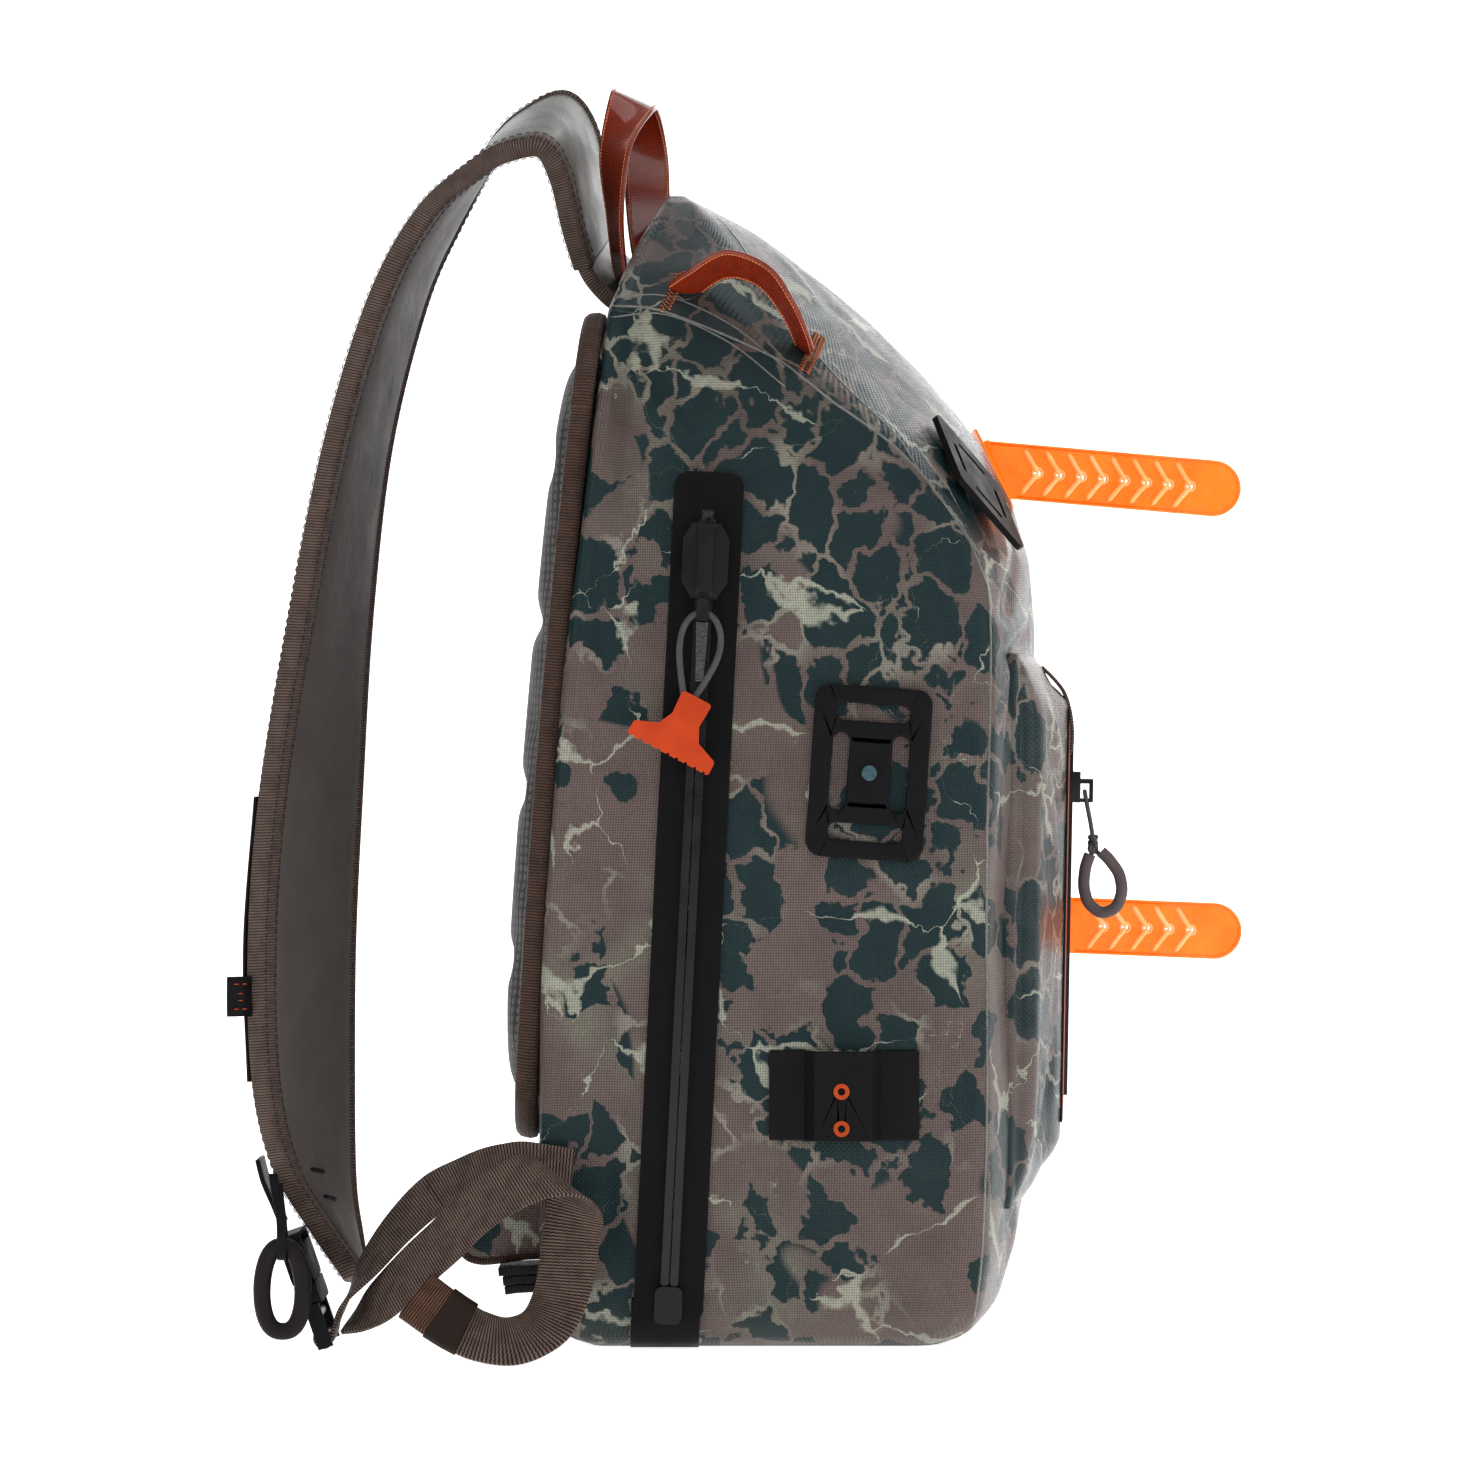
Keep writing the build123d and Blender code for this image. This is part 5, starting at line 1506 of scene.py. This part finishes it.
def pad_blank(wide):
    """The pad as a plain cushion of even small faces."""
    origin, across, up, out, long = back_frame()
    loop = rounded_rectangle(wide - 16, long - 16, 34)
    rings = [(0.02, 0.4), (0.5, 0.4), (1.0, 0.4), (1.0, 3.0), (0.985, 5.2), (0.95, 7.6), (0.88, 9.6),
             (0.76, 11.0), (0.6, 11.8), (0.4, 12.2), (0.2, PAD_THICK), (0.02, PAD_THICK)]
    net = [[origin + across * u * s + up * v * s + out * h for u, v in loop] for s, h in rings]
    pad = grid_piece("back_pad_cushion", np.array(net) * MM, closed=True, caps=True)
    remesh = pad.modifiers.new("remesh", "REMESH")
    remesh.mode = "VOXEL"
    remesh.voxel_size = 0.005
    remesh.use_smooth_shade = True
    apply_modifiers(pad)
    return pad


def pumped(pad):
    """How far each point of the pad moves under a little pressure, at most 5 mm."""
    rest = np.array([v.co for v in pad.data.vertices])
    cloth = pad.modifiers.new("cloth", "CLOTH")
    cloth.settings.use_pressure = True
    cloth.settings.uniform_pressure_force = 4.0
    cloth.settings.effector_weights.gravity = 0.0
    cloth.settings.quality = 5
    cloth.point_cache.frame_end = PUMP_FRAMES
    for frame_number in range(1, PUMP_FRAMES + 1):
        bpy.context.scene.frame_set(frame_number)
    apply_modifiers(pad)
    bpy.context.scene.frame_set(1)
    shift = np.array([v.co for v in pad.data.vertices]) - rest
    size = np.linalg.norm(shift, axis=1, keepdims=True)
    return shift * np.minimum(1.0, 0.005 / np.maximum(size, 1e-9))


def quilting(u, v):
    """0 on the pad's cells and 1 in the channels between them."""
    channels = np.zeros(len(u))
    for y in (-98, -28, 42, 108):
        channels += np.exp(-((v - y) / 5.0) ** 2) * np.clip((96 - np.abs(u)) / 8, 0, 1)
    for x in (-34, 34):
        channels += np.exp(-((u - x) / 5.0) ** 2) * np.clip((132 - np.abs(v)) / 8, 0, 1)
    return np.minimum(channels, 1.0)


def back_pad(m):
    origin, across, up, out, _ = back_frame()
    wide = 2 * HALF_W - 16
    pad = pad_blank(wide)
    rest = np.array([v.co for v in pad.data.vertices])
    shift = pumped(pad)
    local = rest / MM - origin
    h = local @ out
    shift[h < 1.5] = 0
    groove = quilting(local @ across, local @ up) * 4.2 * (h > 6)
    settled = bowed((rest + shift) / MM - np.outer(groove, out)) * MM
    pad.data.vertices.foreach_set("co", settled.astype(np.float32).reshape(-1))
    finer = pad.modifiers.new("finer", "SUBSURF")
    finer.levels = 1
    apply_modifiers(pad)
    smooth(pad)
    m["pad_mesh"].finish(pad)
    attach(pad, "pack")
    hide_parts("back_pad")
    back_binding(m, wide)


def back_binding(m, wide):
    """Ribbed tape folded round the pad's edge, with its stitch lines."""
    origin, across, up, out, long = back_frame()
    loop = rounded_rectangle(wide - 8, long - 8, 38)
    tangent = unit(np.roll(loop, -1, 0) - np.roll(loop, 1, 0))
    outward = np.column_stack([tangent[:, 1], -tangent[:, 0]])
    shape = [(-4.4, 0.0), (-4.6, 4.0), (-4.2, 7.0), (-3.2, 8.6), (-0.6, 9.2), (1.8, 8.7), (3.4, 7.0),
             (3.9, 4.6), (3.9, 2.2), (3.2, 0.3)]
    rows, uvs = [], []
    run = arc_lengths(np.vstack([loop, loop[:1]]))
    around = arc_lengths(np.array(shape + shape[:1]))
    for (u, v), (a, b), s in zip(np.vstack([loop, loop[:1]]), np.vstack([outward, outward[:1]]), run):
        rows.append([origin + across * (u + a * d) + up * (v + b * d) + out * h for d, h in shape])
        uvs.append(np.column_stack([np.full(len(around), s), around]) * MM)
    tape = grid_piece("back_binding_tape", bowed(rows) * MM, np.array(uvs), closed=True)
    m["pad_binding"].finish(tape)
    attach(tape, "pack")
    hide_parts("back_pad_binding")
    line = [origin + across * (u + a * -2.9) + up * (v + b * -2.9) + out * 8.9
            for (u, v), (a, b) in zip(loop, outward)]
    side = [origin + across * (u + a * 3.9) + up * (v + b * 3.9) + out * 3.2
            for (u, v), (a, b) in zip(loop, outward)]
    nets = stitch_nets(bowed(line), [out] * len(line), 3.6, 0.24)
    sideways = [across * a + up * b for a, b in outward]
    nets += stitch_nets(bowed(side), sideways, 3.6, 0.22)
    seams = many_piece("back_binding_stitches", nets)
    m["thread"].finish(seams)
    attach(seams, "pack")


# ---------------------------------------------------------------- stabiliser wing
def wing(m):
    """Folded camouflage tab at the foot of the back, bound along its edge."""
    outline = [(86, 67), (97, 65.5), (118, 56), (121, 47), (121.5, 38), (114, 34.5), (97, 36.5), (86, 37)]
    centre = np.array([103.0, 50.0])
    rows = []
    for s, x in ((0.02, -114.2), (0.7, -114.3), (0.94, -113.8), (1.0, -112.6), (0.94, -111.4), (0.7, -110.9),
                 (0.02, -111.0)):
        ring = curve_through(outline + outline[:1], 5)[:-1]
        rows.append([(x, *(centre + (np.array(p) - centre) * s)) for p in ring])
    net = np.array(rows)
    uv = np.zeros((net.shape[0], net.shape[1] + 1, 2))
    uv[:, :-1] = net[..., 1:] * MM
    uv[:, -1] = uv[:, 0]
    tab = grid_piece("stabiliser_wing_cloth", net * MM, uv, closed=True, caps=True)
    paint(tab, "side_panel", [1.0] * len(tab.data.vertices))
    paint(tab, "near_ground", [0.0] * len(tab.data.vertices))
    m["camo"].finish(tab)
    edge = curve_through([(-112.6, y, z) for y, z in outline], 6)
    rim = many_piece("stabiliser_wing_edge", [tube(edge, 1.9, 8)])
    m["pad_binding"].finish(rim)
    for obj, slot in ((tab, "camo_laminate"), (rim, "dark_binding")):
        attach(obj, "pack")
    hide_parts("stabiliser_wing")
    nets = []
    # webbing stubs under the tab, coloured near black as painted shade for the tab's shadow over them
    for rise, reach in ((31.0, 107.0), (27.2, 105.2), (23.6, 104.4)):
        line = [(-112.5, 88.0, rise + 1.2), (-112.5, 94.0, rise + 1.0), (-112.5, 100.0, rise + 0.6),
                (-112.5, reach, rise)]
        a, b = edges_of(line, [(1, 0, 0)] * 4, 22)
        nets.append(band(a, b, slab(0, 0, -1.6, 1.6, 0.6, 8), 6))
    stub = many_piece("wing_stub_webbing", nets)
    m["shaded_webbing"].finish(stub)
    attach(stub, "pack")
    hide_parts("wing_stub")


# ---------------------------------------------------------------- assembly
def build():
    camera()
    studio()
    floor()
    m = materials()
    dress_nodes(m)
    main_pull(m)
    pocket_pull(m)
    shell, tree = bag_shell()
    m["camo"].finish(shell)
    weld_lines(m, tree)
    zip_foot(m)
    front_pocket(m)
    pocket_zip_details(m)
    back_pad(m)
    wing(m)
    handles(m, tree)
    shoulder_strap(m)
    gear_ring(m)
    lower_webbing(m)
    loose_tail(m)
    lash_details(m)


build()
